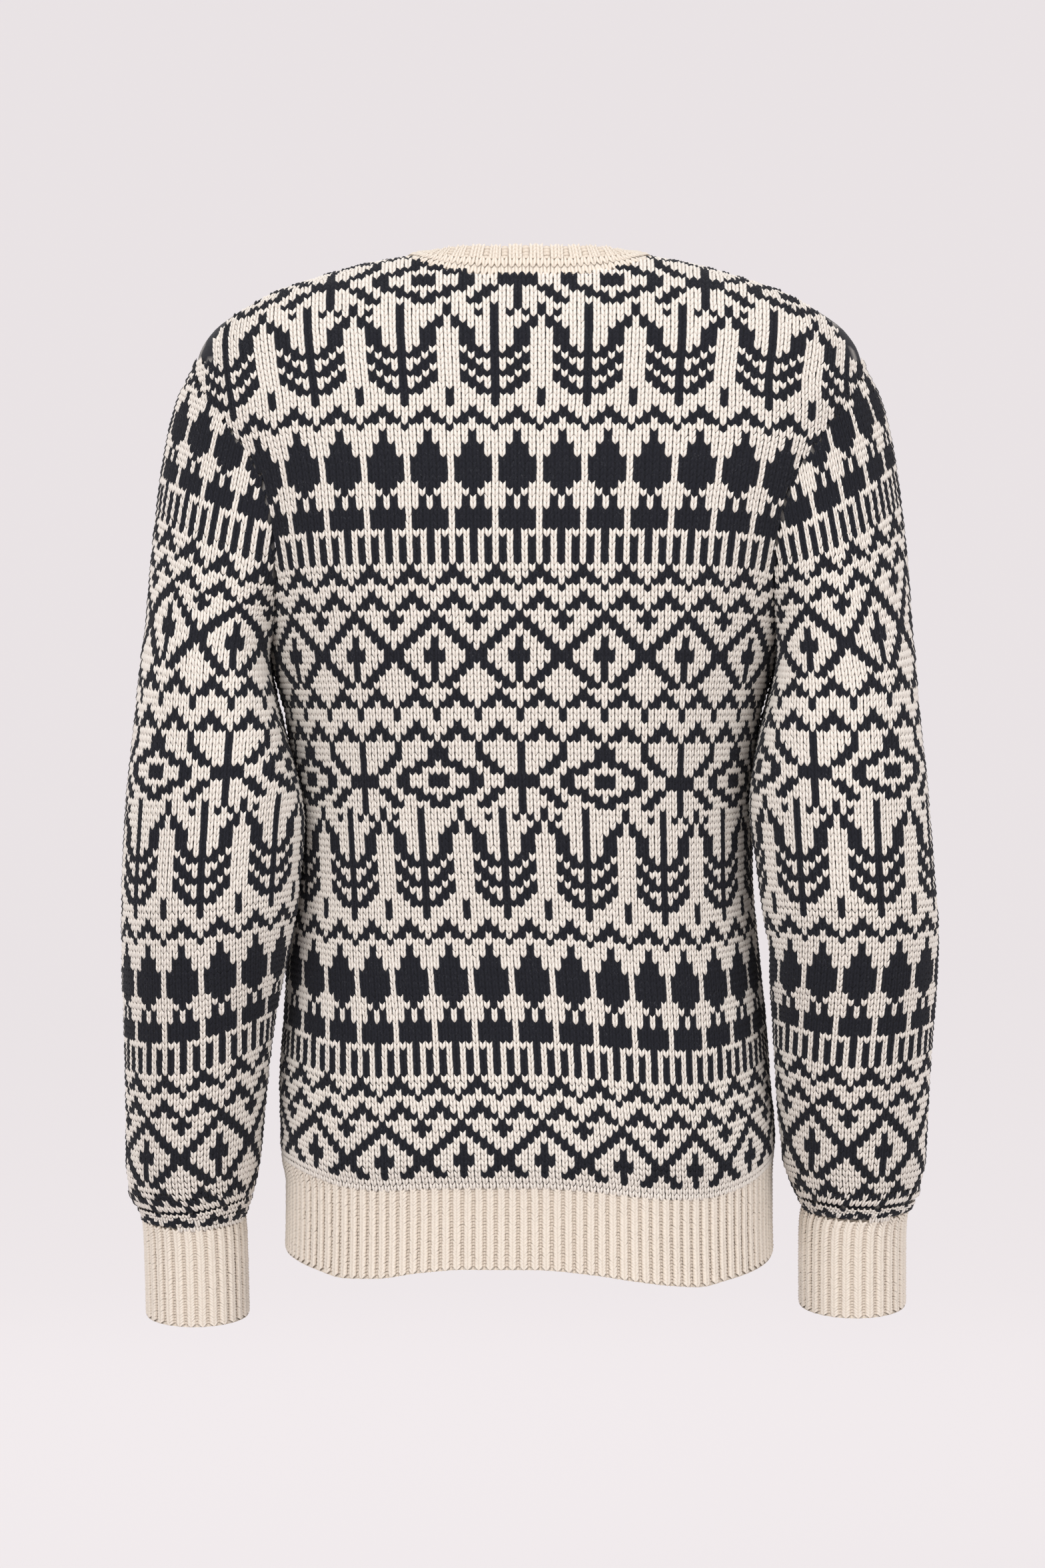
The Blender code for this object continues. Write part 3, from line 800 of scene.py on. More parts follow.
@dataclass(frozen=True)
class StitchLayer:
    """Geometry Nodes that lay a stitch on every point of a bed, over a backing.

    Attributes:
        wobble: Largest random turn of a stitch, in radians.
        seed: Seed of the random turns.
    """

    wobble: float = 0.05
    seed: int = 7

    def tree(self) -> bpy.types.GeometryNodeTree:
        """Build the node tree with its named inputs."""
        tree = bpy.data.node_groups.new("Lay stitches", "GeometryNodeTree")
        tree.interface.new_socket("Geometry", in_out="OUTPUT", socket_type="NodeSocketGeometry")
        for name, kind in (("Geometry", "Geometry"), ("Stitch", "Object"), ("Backing", "Object"),
                           ("Wobble", "Float"), ("Seed", "Int"), ("Yarn", "Material"),
                           ("Inside", "Material")):
            tree.interface.new_socket(name, in_out="INPUT", socket_type="NodeSocket" + kind)
        graph = Graph(tree)
        entry = graph.add("NodeGroupInput").outputs

        def named(name: str) -> Socket:
            return graph.add("GeometryNodeInputNamedAttribute", {"Name": name},
                             data_type="FLOAT_VECTOR").outputs["Attribute"]

        def made(source: Socket, material: str) -> Socket:
            return graph.add("GeometryNodeSetMaterial", {
                "Geometry": source, "Material": entry[material]}).outputs["Geometry"]

        def form(name: str) -> Socket:
            return graph.add("GeometryNodeObjectInfo",
                             {"Object": entry[name]}).outputs["Geometry"]

        axes = graph.add("FunctionNodeAxesToRotation", {0: named("facing"), 1: named("upward")},
                         primary_axis="Z", secondary_axis="Y")
        low = graph.add("ShaderNodeMath", {0: entry["Wobble"], 1: -1}, operation="MULTIPLY")
        turn = graph.add("FunctionNodeRandomValue", {
            0: low.outputs[0], 1: entry["Wobble"], "Seed": entry["Seed"]},
            data_type="FLOAT_VECTOR")
        euler = graph.add("FunctionNodeEulerToRotation", {0: turn.outputs[0]})
        turned = graph.add("FunctionNodeRotateRotation", {0: axes.outputs[0], 1: euler.outputs[0]},
                           rotation_space="LOCAL")
        lay = graph.add("GeometryNodeInstanceOnPoints", {
            "Points": entry["Geometry"], "Instance": form("Stitch"),
            "Rotation": turned.outputs[0], "Scale": named("cell")})
        real = graph.add("GeometryNodeRealizeInstances", {"Geometry": lay.outputs["Instances"]})
        join = graph.add("GeometryNodeJoinGeometry")
        tree.links.new(made(form("Backing"), "Inside"), join.inputs[0])
        tree.links.new(made(real.outputs["Geometry"], "Yarn"), join.inputs[0])
        graph.add("NodeGroupOutput", {"Geometry": join.outputs[0]})
        return tree

    def lay(self, name: str, beds: list[tuple[StitchShape, StitchBed]],
            backing: Piece | None, yarn: Finish,
            inside: Finish) -> Piece:
        """Lay the beds' stitches and the backing as one plain mesh.

        Args:
            name: The piece's name.
            beds: Stitch shapes with the beds they lie on.
            backing: The inner layer, which is used up.
            yarn: Material of the stitches.
            inside: Material of the inner layer.

        Returns:
            The finished piece.
        """
        meshes = []
        for shape, bed in beds:
            stitch = shape.build()
            carrier = put(name + "_carrier", new_mesh(
                name + "_points", bed.foot, [], facing=bed.facing, upward=bed.upward,
                cell=bed.cell, dark=bed.dark))
            modifier = carrier.modifiers.new("Lay stitches", "NODES")
            modifier.node_group = group = self.tree()
            sockets = {s.name: s.identifier for s in group.interface.items_tree
                       if s.in_out == "INPUT"}
            settings = {"Stitch": stitch, "Wobble": self.wobble, "Seed": self.seed, "Yarn": yarn,
                        "Inside": inside}
            if backing is not None:
                settings["Backing"] = backing
            for key, value in settings.items():
                modifier[sockets[key]] = value
            carrier.update_tag()
            bpy.context.view_layer.update()
            graph = bpy.context.evaluated_depsgraph_get()
            meshes.append(bpy.data.meshes.new_from_object(
                carrier.evaluated_get(graph), preserve_all_data_layers=True, depsgraph=graph))
            carrier.modifiers.clear()
            bpy.data.node_groups.remove(group)
            for used in (carrier, stitch, backing):
                if used is not None:
                    bpy.data.objects.remove(used, do_unlink=True)
            backing = None
        return self.merge(name, meshes)

    def merge(self, name: str, meshes: list[Mesh]) -> Piece:
        """One object from several meshes that share their materials and attributes."""
        objects = [put(name, mesh) for mesh in meshes]
        if len(objects) > 1:
            with bpy.context.temp_override(active_object=objects[0],
                                           selected_editable_objects=objects):
                bpy.ops.object.join()
        objects[0].name = name
        return objects[0]


def make_backing(name: str, points: Array, wrap: bool, dark: Array) -> Piece:
    """A grid mesh with a dark attribute, for the inside of a wall.

    Args:
        name: Name of the mesh.
        points: Rows and columns of points.
        wrap: Whether the columns close on themselves.
        dark: The attribute, in the grid's shape.

    Returns:
        The object.
    """
    rows, columns = points.shape[:2]
    i, j = np.meshgrid(np.arange(rows - 1), np.arange(columns - (not wrap)), indexing="ij")
    k = (j + 1) % columns
    faces = np.stack([i * columns + j, i * columns + k, (i + 1) * columns + k,
                      (i + 1) * columns + j], -1).reshape(-1, 4)
    return put(name, new_mesh(name, points.reshape(-1, 3), faces, dark=dark.ravel()))


def floats_behind(points: Array, bed: StitchBed) -> Array:
    """How dark the inside is: the yarn that isn't on the outside lies there as floats."""
    tree = KDTree(len(bed.foot))
    middles = bed.foot + bed.upward * bed.cell[:, 1:2] * 0.5
    for k, place in enumerate(middles):
        tree.insert(place, k)
    tree.balance()
    flat = points.reshape(-1, 3)
    found = np.array([bed.dark[tree.find(p)[1]] for p in flat])
    return 1 - 0.3 * found.reshape(points.shape[:2])


def bed_from_lattice(lattice: Array, keep: Array, dark: Array, depth: float,
                     outward: Array | None = None) -> StitchBed:
    """A bed from a lattice of stitch feet.

    Args:
        lattice: Feet of shape (courses + 1, wales, 3); the last course only gives directions.
        keep: Which cells of shape (courses, wales) carry a stitch.
        dark: Yarn of each cell, in the same shape.
        depth: Depth of a stitch in metres.
        outward: A direction for each cell that points out, when the wales run the other way.

    Returns:
        The bed.
    """
    up = lattice[:-1] - lattice[1:]
    across = np.gradient(lattice, axis=1)[:-1]
    facing = unit(np.cross(across, up))
    if outward is not None:
        facing = facing * np.sign(np.sum(facing * outward, axis=-1, keepdims=True))
    width, height = np.linalg.norm(across, axis=-1), np.linalg.norm(up, axis=-1)
    wider, taller = bloom(dark)
    cell = np.stack([width * wider, height * taller, np.full_like(width, depth)], -1)
    foot = lattice[:-1] + facing * (DARK_LIFT * dark)[..., None]
    foot = foot - up * (0.25 * DARK_BLOOM * dark)[..., None]
    return StitchBed(foot[keep], facing[keep], unit(up)[keep], cell[keep], dark[keep], True)


@dataclass
class Panel:
    """The front or the back: wales and courses laid over the torso.

    Attributes:
        face: Which panel.
        torso: The surface.
        chart: The pattern.
        half_wales: Wales from the middle to a side seam.
        stitch_depth: Depth of a stitch.
        wall: Distance of the inner layer below the guide surface.
        cut: Width and length of the flat panel.
    """

    face: Face
    torso: TorsoForm
    chart: BandChart
    half_wales: float = PANEL_EDGE_WALE + 0.5
    stitch_depth: float = 0.0011
    wall: float = 0.0021
    cut: tuple[float, float] = (0.50, 0.63)

    def drift(self, z: Array) -> Array:
        """How far the middle wale lies from the middle at z."""
        return WALES.at("drift", z) if self.face is Face.BACK else 0 * z

    def arc(self, wale: Array, z: Array) -> Array:
        """Signed length from the middle of the section at z to a wale."""
        drift, pitch = self.drift(z), WALES.at("pitch", z)
        whole, n = self.torso.arcs[self.face].whole(z), self.half_wales
        return (drift + pitch * wale - drift / n ** 2 * wale ** 2
                + (whole - pitch * n) / n ** 3 * wale ** 3)

    def turn(self, wale: Array, z: Array) -> Array:
        """The turn of a wale at height z: even spacing low down, upright over the shoulders."""
        low = self.torso.turn_at_arc(self.face, self.arc(wale, z), z)
        x = self.drift(z) + WALES.at("pitch", z) * wale - OUTER_CLOSING * (wale / CHEST_WALE) ** 3
        knee = SIDE_KNEE * self.torso.value("half", z)
        past = np.clip(np.abs(x) - knee, 0, None)
        start = self.torso.arcs[self.face].length_at(self.torso.turn_at_x(knee, z), z)
        beyond = self.torso.turn_at_arc(self.face, start + past, z)
        high = np.where(np.abs(x) > knee, np.sign(x) * beyond, self.torso.turn_at_x(x, z))
        share = ease(z, -0.125, -0.07)
        return np.clip((1 - share) * low + share * high, -1, 1)

    def course_heights(self) -> tuple[Array, Array]:
        """Lengths above the underarm level for the courses above it, and shares below it."""
        courses = PANEL_COURSES
        z = np.interp(courses, COURSES["course"], COURSES["z"] / 1000)
        path = np.linspace(UNDERARM_Z, NECK_BACK_Z, 200)
        back = Panel(Face.BACK, self.torso, self.chart)
        line = self.torso.point(Face.BACK, back.turn(np.zeros(200), path), path)[0]
        length = np.interp(z, path, arc_lengths(line))
        above = courses < COURSES["course"][0]
        length[above] += (COURSES["course"][0] - courses[above]) * SHOULDER_COURSE
        return length, (UNDERARM_Z - z) / (UNDERARM_Z - hem_level("seam", 0.0))

    def lattice(self) -> tuple[Array, Array, Array, Array, Array]:
        """Feet of all stitches.

        Returns:
            Points of shape (courses, wales, 3), turns, course numbers, wale numbers from right to
            left, and which points lie on the panel's own side of the ridge.
        """
        courses, wales = PANEL_COURSES, PANEL_WALES
        length, share = self.course_heights()
        seam = hem_level("seam", self.turn(wales.astype(float), np.full(len(wales), HEM_LEVEL_Z)))
        z = UNDERARM_Z - (UNDERARM_Z - seam[None, :]) * share[:, None]
        top_x = np.abs(5.1e-3 * wales + (0.0074 if self.face is Face.BACK else 0))
        top = np.maximum(self.torso.ridge(top_x), SHOULDER_TIP_Z + 0.002)
        v = np.linspace(0, 1, 140)[:, None]
        heights = top - (top - UNDERARM_Z) * (1 - v) ** 2.2
        line = self.torso.point(self.face, self.turn(wales[None, :] + 0 * heights, heights),
                                heights)[0]
        on_panel = np.ones(z.shape, bool)
        lengths = arc_lengths(np.swapaxes(line, 0, 1))
        for k in range(len(wales)):
            above = share < 0
            droop = 0.006 * min(1, (abs(wales[k]) / 40) ** 8) * ease(length[above], 0, 0.08)
            z[above, k] = np.interp(length[above] - droop, lengths[k], heights[:, k])
            on_panel[above, k] = length[above] - droop < lengths[k, -1] - 0.0006
        turn = self.turn(wales[None, :] + 0.0 * z, z)
        return self.torso.point(self.face, turn, z)[0], turn, courses, wales, on_panel

    def bed(self) -> StitchBed:
        """The panel's stitches."""
        points, turn, courses, wales, on_panel = self.lattice()
        middle = (points[:-1] * 1.5 - points[1:] * 0.5)
        x, y, z = np.abs(middle[..., 0]), middle[..., 1], middle[..., 2]
        neck = NECK.at(self.face.value, x)
        keep = on_panel[:-1] & ((x > NECK_HALF) | (z < neck + 0.0005))
        oval = ((z - ARMHOLE_MIDDLE_Z) / ARMHOLE_HALF) ** 2 + (y / self.face.armhole) ** 2
        keep &= (oval > 1) | (x < CHEST_CORE)
        keep &= (courses[:-1, None] <= PANEL_EDGE_COURSE)
        keep &= (np.abs(wales)[None, :] <= PANEL_EDGE_WALE) | ((z > -0.13) & (np.abs(turn[:-1]) < 0.999))
        column = PANEL_MIDDLE_COLUMN - (self.face.sign * wales).astype(int)
        dark = self.chart.dark(column[None, :], courses[:-1, None])
        dark = np.where(courses[:-1, None] > LAST_PANEL_COURSE, 0, dark)
        outward = np.zeros(points[:-1].shape) + np.array([0, self.face.sign, 0.3])
        side = np.sign(wales)[None, :, None] * np.array([1.0, 0, 0])
        outward = outward + side * (np.abs(wales)[None, :, None] / self.half_wales) ** 3 * 2
        return bed_from_lattice(points, keep, dark, self.stitch_depth, outward)

    def backing_grid(self) -> Array:
        """The inner layer's points, rows from the hem seam to the neck seam."""
        columns, steps = 96, 42
        share = np.linspace(-1, 1, columns + 1)
        share = np.sign(share) * (1 - (1 - np.abs(share)) ** 1.06)
        turns, levels = [], []
        for part in np.linspace(0, 1, 60)[:-1]:
            low = hem_level("seam", share)
            turns.append(share)
            levels.append(low + (UNDERARM_Z - low) * part)
        neck_turn, neck_z = self.torso.neck_line(self.face, share)
        middle = neck_z[columns // 2]
        spare, rise = middle - UNDERARM_Z, NECK_SIDE_Z - UNDERARM_Z
        arch = (neck_z - NECK_SIDE_Z) / (middle - NECK_SIDE_Z)
        slow = 1.0
        angles = np.linspace(math.pi, 0, steps + 1)
        for angle in angles:
            z = float(armhole_level(angle))
            edge = float(self.torso.turn_at_depth(self.face, self.face.armhole * math.sin(angle),
                                                  z))
            slow = min(slow, edge)
            spread = share * slow + (edge - slow) * share * np.abs(share) ** 3
            lift = (z - UNDERARM_Z) / rise
            drop = (UNDERARM_Z + spare * lift ** 0.92 - z) * lift
            turns.append(spread)
            levels.append(z + drop * (1 - share ** 2) ** 2)
        for z in np.linspace(SHOULDER_TIP_Z, NECK_SIDE_Z, 20)[1:]:
            lift = (z - UNDERARM_Z) / rise
            late = (z - SHOULDER_TIP_Z) / (NECK_SIDE_Z - SHOULDER_TIP_Z)
            drop = (UNDERARM_Z + spare * lift ** 0.92 - z) * lift
            turns.append(spread * (1 - late) + neck_turn * late)
            levels.append(z + drop * ((1 - late) * (1 - share ** 2) ** 2 + late * arch))
        point, normal = self.torso.point(self.face, np.array(turns), np.array(levels))
        return point - normal * self.wall

    def build(self, layer: StitchLayer, yarn: Finish,
              inside: Finish) -> Piece:
        """Make the panel's piece and dress it."""
        bed = self.bed()
        grid = self.backing_grid()
        backing = make_backing(self.face.value + "_floats", grid, False, floats_behind(grid, bed))
        piece = layer.lay(self.face.value + "_knit", [(PLAIN_STITCH, bed)], backing, yarn, inside)
        dress(piece, [self.face.value], self.cut, bed.area())
        return piece


@dataclass
class Sleeve:
    """A sleeve from the armhole seam to the cuff seam.

    Attributes:
        form: The surface.
        chart: The pattern.
        stitch_depth: Depth of a stitch.
        wall: Distance of the inner layer below the guide surface.
        cut: Width and length of the flat sleeve.
    """

    form: SleeveForm
    chart: BandChart
    stitch_depth: float = 0.0011
    wall: float = 0.0021
    cut: tuple[float, float] = (0.40, 0.58)

    def lattice(self) -> tuple[Array, Array, Array, Array, Array, Array]:
        """Feet of all stitches, course and chart column numbers, angles, arcs and half rounds."""
        side = self.form.side
        courses, rows = np.arange(0, 143), SLEEVE_COURSES[side]
        wales = SLEEVE_WALES[side]
        first = int(round(wales["column"][0]))
        columns = np.arange(first - 64, first + 65)
        mid = np.interp(courses, rows["course"], rows["z"])[:, None] / 1000
        outer, inner = (rows.at(name, courses.astype(float))[:, None] / 1000
                        for name in ("outer", "inner"))
        z = mid + 0.0 * columns[None, :]
        for _ in range(6):
            pitch = smooth(wales["z"] / 1000, wales["pitch"] / 1000, z)
            start = smooth(wales["z"] / 1000, wales["column"], z)
            count = side.value * (columns[None, :] - start)
            eased = INNER_EASE[side] * ease(np.abs(count), 22, 44) * ease(-z, 0.16, 0.21) * (
                1 - ease(-z, 0.31, 0.37))
            front_pitch = 0.1 / np.abs(FRONT_COLUMN[side] - start)
            arc = np.where(count < 0, front_pitch, pitch * (1 + eased)) * count
            angle = self.form.angle_at_arc(arc, z)
            c = np.cos(angle)
            aim = mid + outer * (c + c * c) / 2 + inner * (c * c - c) / 2
            z = z * 0.3 + aim * 0.7
        return self.form.point(angle, z), courses, columns, angle, arc, z

    def bed(self) -> StitchBed:
        """The sleeve's stitches."""
        points, courses, columns, angle, arc, z = self.lattice()
        middle = points[:-1, :, 2] * 1.5 - points[1:, :, 2] * 0.5
        keep = middle < armhole_level(angle[:-1])
        keep &= z[:-1] > self.form.cuff_seam_level(angle[:-1]) - 0.0012
        pitch = np.abs(np.gradient(arc[:-1], axis=1))
        keep &= np.abs(arc[:-1]) < self.form.half_round(arc[:-1], z[:-1]) + 0.1 * pitch
        dark = self.chart.dark(columns[None, :], courses[:-1, None])
        dark = np.where(courses[:-1, None] > LAST_SLEEVE_COURSE, 0, dark)
        ring = self.form.tube(np.array(0.0), z[:-1]) + self.form.tube(np.array(math.pi), z[:-1])
        return bed_from_lattice(points, keep, dark, self.stitch_depth, points[:-1] - ring / 2)

    def backing_grid(self) -> Array:
        """The inner layer's points: rings from the armhole seam to the cuff seam."""
        around = np.linspace(0, 2 * math.pi, 97)[:-1]
        level0 = armhole_level(around)
        seam, torso_normal = self.form.seam(around)
        rings = [seam]
        for step in np.linspace(0, 1, 90)[1:]:
            flat = min(1.0, step * 1.15) ** 0.8
            level = level0 * (1 - flat) + flat * (-0.255 + (self.form.cuff_top + 0.255) * step)
            level = np.minimum(level, level0 - 0.006 * min(1, step * 12))
            level = level - CUFF_TILT * CUFF_DEPTH * np.sin(around) * max(0, step - 0.5) * 2
            rings.append(self.form.point(around, level))
        rings = np.array(rings)
        normal = grid_normals(rings, True)
        normal *= np.sign(np.sum(normal * (rings - rings.mean(axis=1, keepdims=True)), -1).mean())
        both = unit(torso_normal + self.form.seam_normal(around))
        normal[0] = both / np.maximum(np.sum(both * torso_normal, -1, keepdims=True), 0.6)
        return rings - normal * self.wall

    def build(self, layer: StitchLayer, yarn: Finish,
              inside: Finish) -> Piece:
        """Make the sleeve's piece and dress it."""
        bed, grid, name = self.bed(), self.backing_grid(), "sleeve_" + self.form.side.word
        backing = make_backing(name + "_floats", grid, True, floats_behind(grid, bed))
        piece = layer.lay(name + "_knit", [(PLAIN_STITCH, bed)], backing, yarn, inside)
        dress(piece, [name], self.cut, bed.area())
        return piece


@dataclass
class RibStrip:
    """A ribbed strip: rib stitches on crests and purl bumps between them.

    Attributes:
        name: The piece's name.
        node: The node that the piece stands for.
        ribs: Number of ribs.
        courses: Number of courses.
        wrap: Whether the strip closes on itself.
        crest_share: A crest's share of the rib pitch.
        stitch_depth: Depth of a stitch.
        wall: Distance of the inner layer below the guide surface.
        cut: Width and length of the flat strip.
    """

    name: str
    node: str
    ribs: int
    courses: int
    wrap: bool
    cut: tuple[float, float]
    crest_share: float = 0.73
    stitch_depth: float = 0.0013
    wall: float = 0.0026

    def surface(self, around: Array, down: Array) -> tuple[Array, Array]:
        """Point and outward normal at shares, 0 to 1, round and down the strip."""
        raise NotImplementedError

    def beds(self) -> list[tuple[StitchShape, StitchBed]]:
        """Rib stitches on the crests and purl bumps in the recesses."""
        down = np.linspace(0, 1, self.courses + 1)
        crests = (np.arange(self.ribs) + 0.5) / self.ribs
        recesses = np.arange(self.ribs + (0 if self.wrap else 1)) / self.ribs
        return [(RIB_STITCH, self.strip_bed(crests, down, self.crest_share)),
                (PURL_STITCH, self.strip_bed(recesses, down, 1 - self.crest_share))]

    def strip_bed(self, around: Array, down: Array, share: float) -> StitchBed:
        """Stitches in columns.

        Args:
            around: Places of the columns' middles, 0 to 1.
            down: Where the courses start and end, 0 to 1.
            share: Width of a stitch as a share of the rib pitch.

        Returns:
            The bed.
        """
        a, d = np.meshgrid(around, down[1:], indexing="xy")
        point, normal = self.surface(a, d)
        above = self.surface(a, np.meshgrid(around, down[:-1], indexing="xy")[1])[0]
        e = 0.25 / self.ribs
        width = np.linalg.norm(self.surface(a + e, d)[0] - self.surface(a - e, d)[0], axis=-1)
        width = width * 2 * share
        up = above - point
        height = np.linalg.norm(up, axis=-1)
        cell = np.stack([width, height, np.full_like(width, self.stitch_depth)], -1)
        return StitchBed(point.reshape(-1, 3), normal.reshape(-1, 3), unit(up).reshape(-1, 3),
                         cell.reshape(-1, 3), np.zeros(width.size))

    def backing_grid(self) -> Array:
        """The inner layer, folded with the ribs, and turned out at the open edge."""
        columns = self.ribs * 4 + (0 if self.wrap else 1)
        around = np.arange(columns) / (self.ribs * 4)
        wave = 0.0002 * np.cos(2 * math.pi * (around * self.ribs - 0.5))
        rows = []
        for down, fold in [(d, 1.0) for d in np.linspace(0, 0.97, 9)] + [(1.0, 0.55), (1.0, 0.1)]:
            point, normal = self.surface(around, np.full(columns, down))
            rows.append(point - normal * (self.wall * fold - wave * fold)[:, None])
        return np.array(rows)

    def build(self, layer: StitchLayer, yarn: Finish) -> Piece:
        """Make the strip's piece and dress it."""
        beds, grid = self.beds(), self.backing_grid()
        backing = make_backing(self.name + "_inside", grid, self.wrap, np.zeros(grid.shape[:2]))
        piece = layer.lay(self.name, beds, backing, yarn, yarn)
        dress(piece, [self.node], self.cut, sum(bed.area() for _, bed in beds))
        return piece


@dataclass
class HemHalf(RibStrip):
    """The hem rib under one panel."""

    torso: TorsoForm | None = None
    face: Face = Face.BACK

    def surface(self, around: Array, down: Array) -> tuple[Array, Array]:
        """Point and level normal on the hem."""
        z = HEM_LEVEL_Z + 0 * around
        whole = self.torso.arcs[self.face].whole(z)
        turn = self.torso.turn_at_arc(self.face, (2 * around - 1) * whole, z)
        level = (1 - down) * hem_level("seam", turn) + down * hem_level("edge", turn)
        point, normal = self.torso.point(self.face, turn, level)
        normal = normal * np.array([1, 1, 0])
        return point, unit(normal)


@dataclass
class Cuff(RibStrip):
    """The cuff rib of one sleeve."""

    form: SleeveForm | None = None

    def surface(self, around: Array, down: Array) -> tuple[Array, Array]:
        """Point and level normal on the cuff."""
        fine = np.linspace(0, 2 * math.pi, 361)
        line = self.form.point(fine, self.form.cuff_seam_level(fine))
        lengths = arc_lengths(line)
        angle = np.interp((around % 1.0) * lengths[-1], lengths, fine)
        ring = self.form.point(angle, self.form.cuff_seam_level(angle))
        fall = SEAM + (CUFF_SEAM_Z - CUFF_EDGE_Z - SEAM) * down
        top = self.form.tube(np.array(0.0), np.array(self.form.cuff_top))
        drift = self.form.tube(0 * fall, self.form.cuff_top - fall) - top
        drift[..., 2] = -fall
        out = ring - line[:-1].mean(axis=0)
        return ring + drift, unit(out * np.array([1, 1, 0]))


@dataclass
class Neckband(RibStrip):
    """The neckband, which leans in and rises from the neck seam."""

    torso: TorsoForm | None = None

    def beds(self) -> list[tuple[StitchShape, StitchBed]]:
        """Tall plain stitches next to the seam, and plain columns between purl bumps above."""
        columns = (np.arange(self.ribs) + 0.5) / self.ribs
        purl = np.arange(self.ribs) % 3 == 0
        low, high = np.linspace(0.48, 1, 3), np.linspace(0, 0.48, 5)
        return [(PLAIN_STITCH, self.strip_bed(columns, low, 1.0).joined(
                    self.strip_bed(columns[~purl], high, 1.0))),
                (PURL_STITCH, self.strip_bed(columns[purl], high, 0.9))]

    def edge(self) -> tuple[Array, Array]:
        """Points and torso normals round the neck seam, from the middle of the back."""
        share = np.linspace(-1, 1, 181)
        back, front = (self.torso.point(face, *self.torso.neck_line(face, share)) for face in Face)
        point, normal = (np.concatenate([b[90:], f[::-1][1:-1], b[:91]])
                         for b, f in zip(back, front))
        return point, normal

    def surface(self, around: Array, down: Array) -> tuple[Array, Array]:
        """Point and outward normal; down is 0 at the top edge and 1 at the neck seam."""
        line, wall = self.edge()
        lengths = arc_lengths(line)
        place = (np.asarray(around) % 1.0) * lengths[-1]

        def read(values: Array) -> Array:
            return np.stack([np.interp(place, lengths, values[:, k]) for k in range(3)], -1)

        edge = read(line)
        inward = np.array([0, -0.012, 0]) - edge
        inward[..., 2] = 0
        inward = unit(inward)
        bearing = np.degrees(np.arccos(np.clip(-inward[..., 1], -1, 1)))
        lean, rise = (BAND.at(name, bearing)[..., None] for name in ("lean", "rise"))
        tangent = unit(read(np.gradient(line, axis=0)))
        across = inward * lean + np.array([0, 0, 1.0]) * rise
        width = np.linalg.norm(across, axis=-1, keepdims=True)
        across = unit(across - np.sum(across * tangent, -1, keepdims=True) * tangent) * width
        out = unit(np.cross(tangent, across))
        out *= np.sign(np.sum(out * -inward, axis=-1, keepdims=True))
        up = 1 - np.asarray(down)[..., None]
        bulge = 0.0018 * np.sin(math.pi * np.clip(up, 0, 1)) ** 0.7
        blend = ease(up, 0.0, 0.3)
        normal = unit(unit(read(wall)) * (1 - blend) + out * blend)
        return edge + across * up + out * bulge, normal


def dress(piece: Piece, nodes: list[str], cut: tuple[float, float],
          area: float) -> None:
    """Say what the piece rides on, replaces and is cut from, and report it.

    Args:
        piece: The finished piece.
        nodes: Nodes that it stands for.
        cut: Width and length of the flat cloth.
        area: Flat area in square metres.
    """
    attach(piece, "root")
    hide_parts(*nodes)
    width, length = cut
    piece.data.calc_loop_triangles()
    LOG.info("%s: %d triangles, flat area %.4f of %.4f m2", piece.name,
             len(piece.data.loop_triangles), area, width * length)


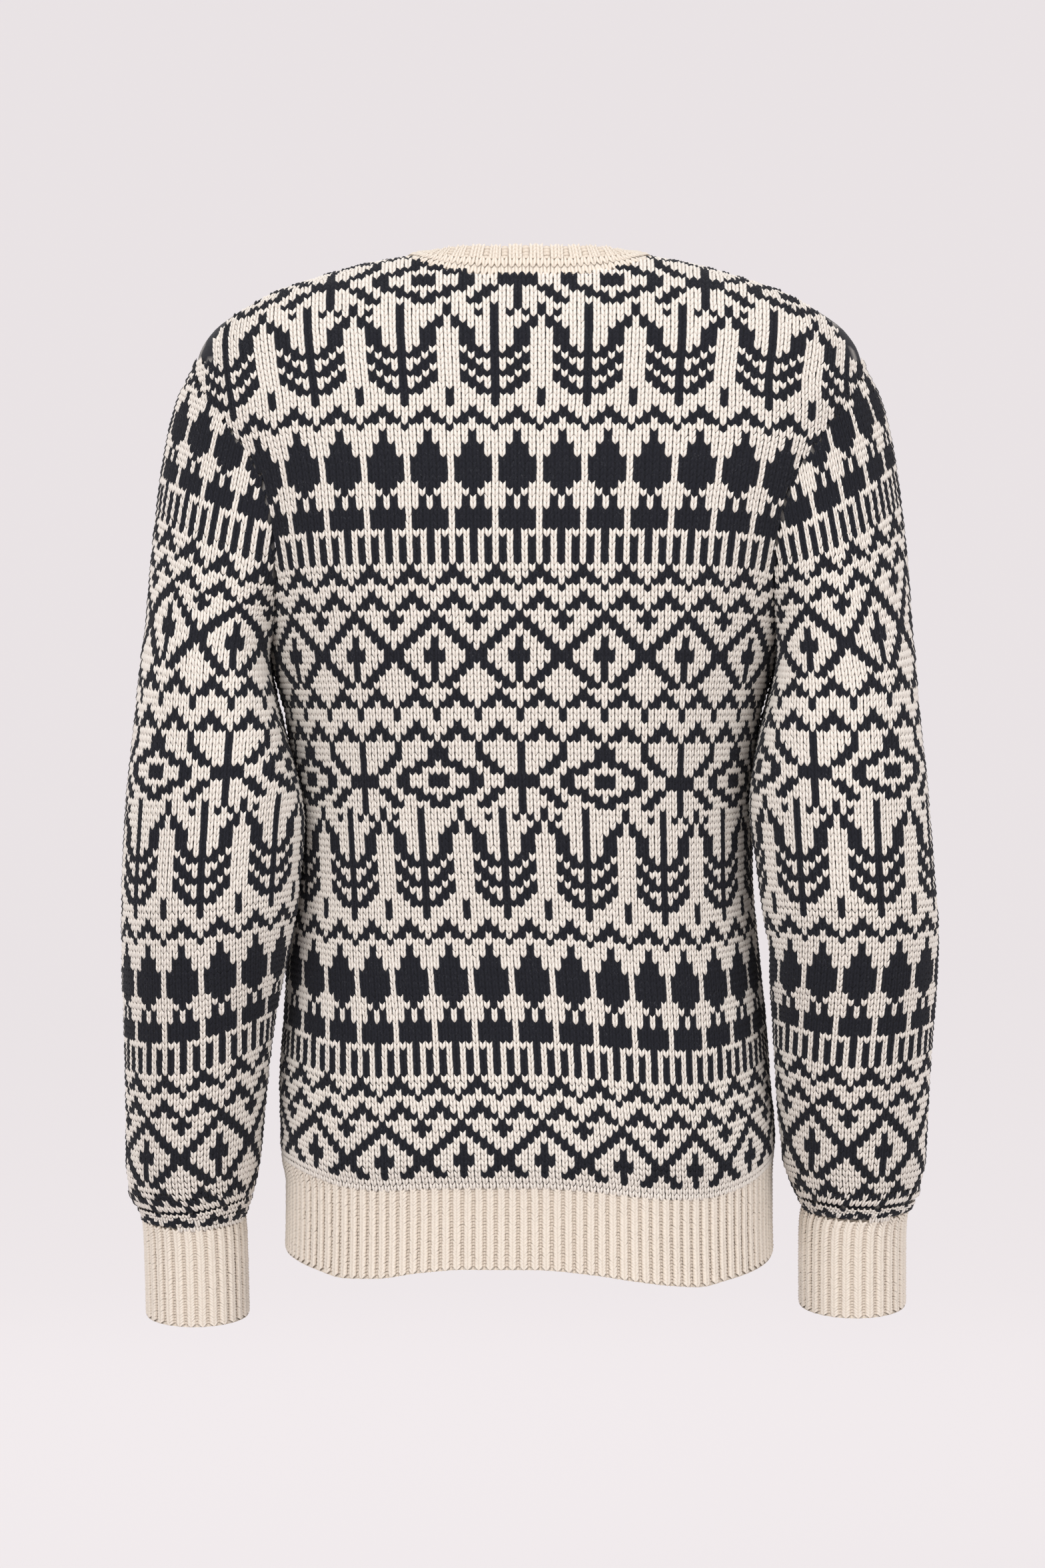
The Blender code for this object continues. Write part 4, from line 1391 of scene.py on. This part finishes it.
@dataclass(frozen=True)
class Studio:
    """Camera, lights, floor and backdrop.

    Attributes:
        distance: Camera's distance behind the shoulder line.
        half_view: Half the view's height at the shoulder line.
        centre: Where the camera looks, in x and z.
        floor: Height of the floor.
    """

    distance: float = 3.6
    half_view: float = 0.5174
    centre: tuple[float, float] = (0.0044, -0.3414)
    floor: float = -1.05
    tone: tuple[float, float, float] = (0.815, 0.771, 0.784)
    glow: float = 0.88

    def camera(self) -> None:
        """Place the camera behind the garment, as it is pictured."""
        data = bpy.data.cameras.new("Camera")
        data.sensor_fit = "VERTICAL"
        data.sensor_height = 24
        data.lens = 12 * self.distance / self.half_view
        data.clip_end = 50
        camera = put("Camera", data)
        camera.location = (self.centre[0], self.distance, self.centre[1])
        camera.rotation_euler = (math.pi / 2, 0, math.pi)
        bpy.context.scene.camera = camera

    def sweep(self) -> None:
        """A pale floor that curves up into a backdrop all round."""
        material = bpy.data.materials.new("Pale paper")
        material.use_nodes = True
        shader = material.node_tree.nodes["Principled BSDF"].inputs
        lit = tuple(c * (1 - self.glow) for c in self.tone)
        for key, value in (("Base Color", (*lit, 1)), ("Emission Color", (*self.tone, 1)),
                           ("Emission Strength", self.glow), ("Roughness", 0.9),
                           ("Specular IOR Level", 0.1)):
            shader[key].default_value = value
        ring, rows = 64, [(0, 0), (2.0, 0), (3.6, 0)]
        for k in range(1, 13):
            angle = k / 12 * math.pi / 2
            rows.append((3.6 + 2 * math.sin(angle), 2 * (1 - math.cos(angle))))
        rows.append((5.6, 5.0))
        points, faces = [(0, 0, self.floor)], []
        for radius, z in rows[1:]:
            for k in range(ring):
                a = 2 * math.pi * k / ring
                points.append((radius * math.cos(a), radius * math.sin(a), self.floor + z))
        for k in range(ring):
            faces.append((0, 1 + k, 1 + (k + 1) % ring))
            for r in range(len(rows) - 2):
                a, b = 1 + r * ring, 1 + (r + 1) * ring
                n = (k + 1) % ring
                faces.append((a + k, b + k, b + n, a + n))
        floor = put("floor", new_mesh("floor", points, faces))
        floor.data.materials.append(material)

    def light(self, name: str, place: tuple[float, float, float], size: float,
              power: float) -> None:
        """A square soft light aimed at the garment's middle."""
        data = bpy.data.lights.new(name, "AREA")
        data.size = size
        data.energy = power
        lamp = put(name, data)
        lamp.location = place
        aim = np.array([0, 0, self.centre[1]]) - np.array(place)
        flat = math.hypot(aim[0], aim[1])
        lamp.rotation_euler = (math.pi / 2 + math.atan2(aim[2], flat), 0,
                               math.atan2(-aim[0], aim[1]))

    def build(self) -> None:
        """Set the whole studio."""
        self.camera()
        self.sweep()
        world = bpy.data.worlds.new("Studio")
        world.use_nodes = True
        sky = world.node_tree.nodes["Background"].inputs
        sky["Color"].default_value, sky["Strength"].default_value = (1, 0.985, 0.99, 1), 0.9
        bpy.context.scene.world = world
        bpy.context.scene.view_settings.view_transform = "Standard"
        self.light("Key", (1.6, 3.4, 1.9), 1.8, 85)
        self.light("Fill", (-2.2, 3.0, 0.6), 2.2, 40)
        self.light("Far side", (0.4, -3.4, 1.6), 2.4, 60)


def main() -> None:
    """Build every piece in order."""
    logging.basicConfig(level=logging.INFO, format="%(name)s: %(message)s")
    Studio().build()
    torso, chart, layer = TorsoForm(), BandChart(), StitchLayer()
    yarn = KnitFinish("Two-colour wool").build()
    inside = KnitFinish("Floats inside", hollow_shade=0.0, fuzz=0.35).build()
    rib = KnitFinish("Rib wool", pale=(0.80, 0.732, 0.64), shade=(0.52, 0.43, 0.34)).build()
    for face in Face:
        Panel(face, torso, chart).build(layer, yarn, inside)
        name = "hem_" + face.value
        HemHalf(name + "_rib", name, 62, 27, False, (0.46, 0.065), torso=torso,
                face=face).build(layer, rib)
    for side in Side:
        form = SleeveForm(torso, side)
        Sleeve(form, chart).build(layer, yarn, inside)
        name = "cuff_" + side.word
        Cuff(name + "_rib", name, 28, 34, True, (0.24, 0.07), form=form).build(layer, rib)
    Neckband("neckband_rib", "neckband", 135, 6, True, (0.48, 0.028), torso=torso,
             stitch_depth=0.0010).build(layer, rib)


if __name__ == "__main__":
    main()
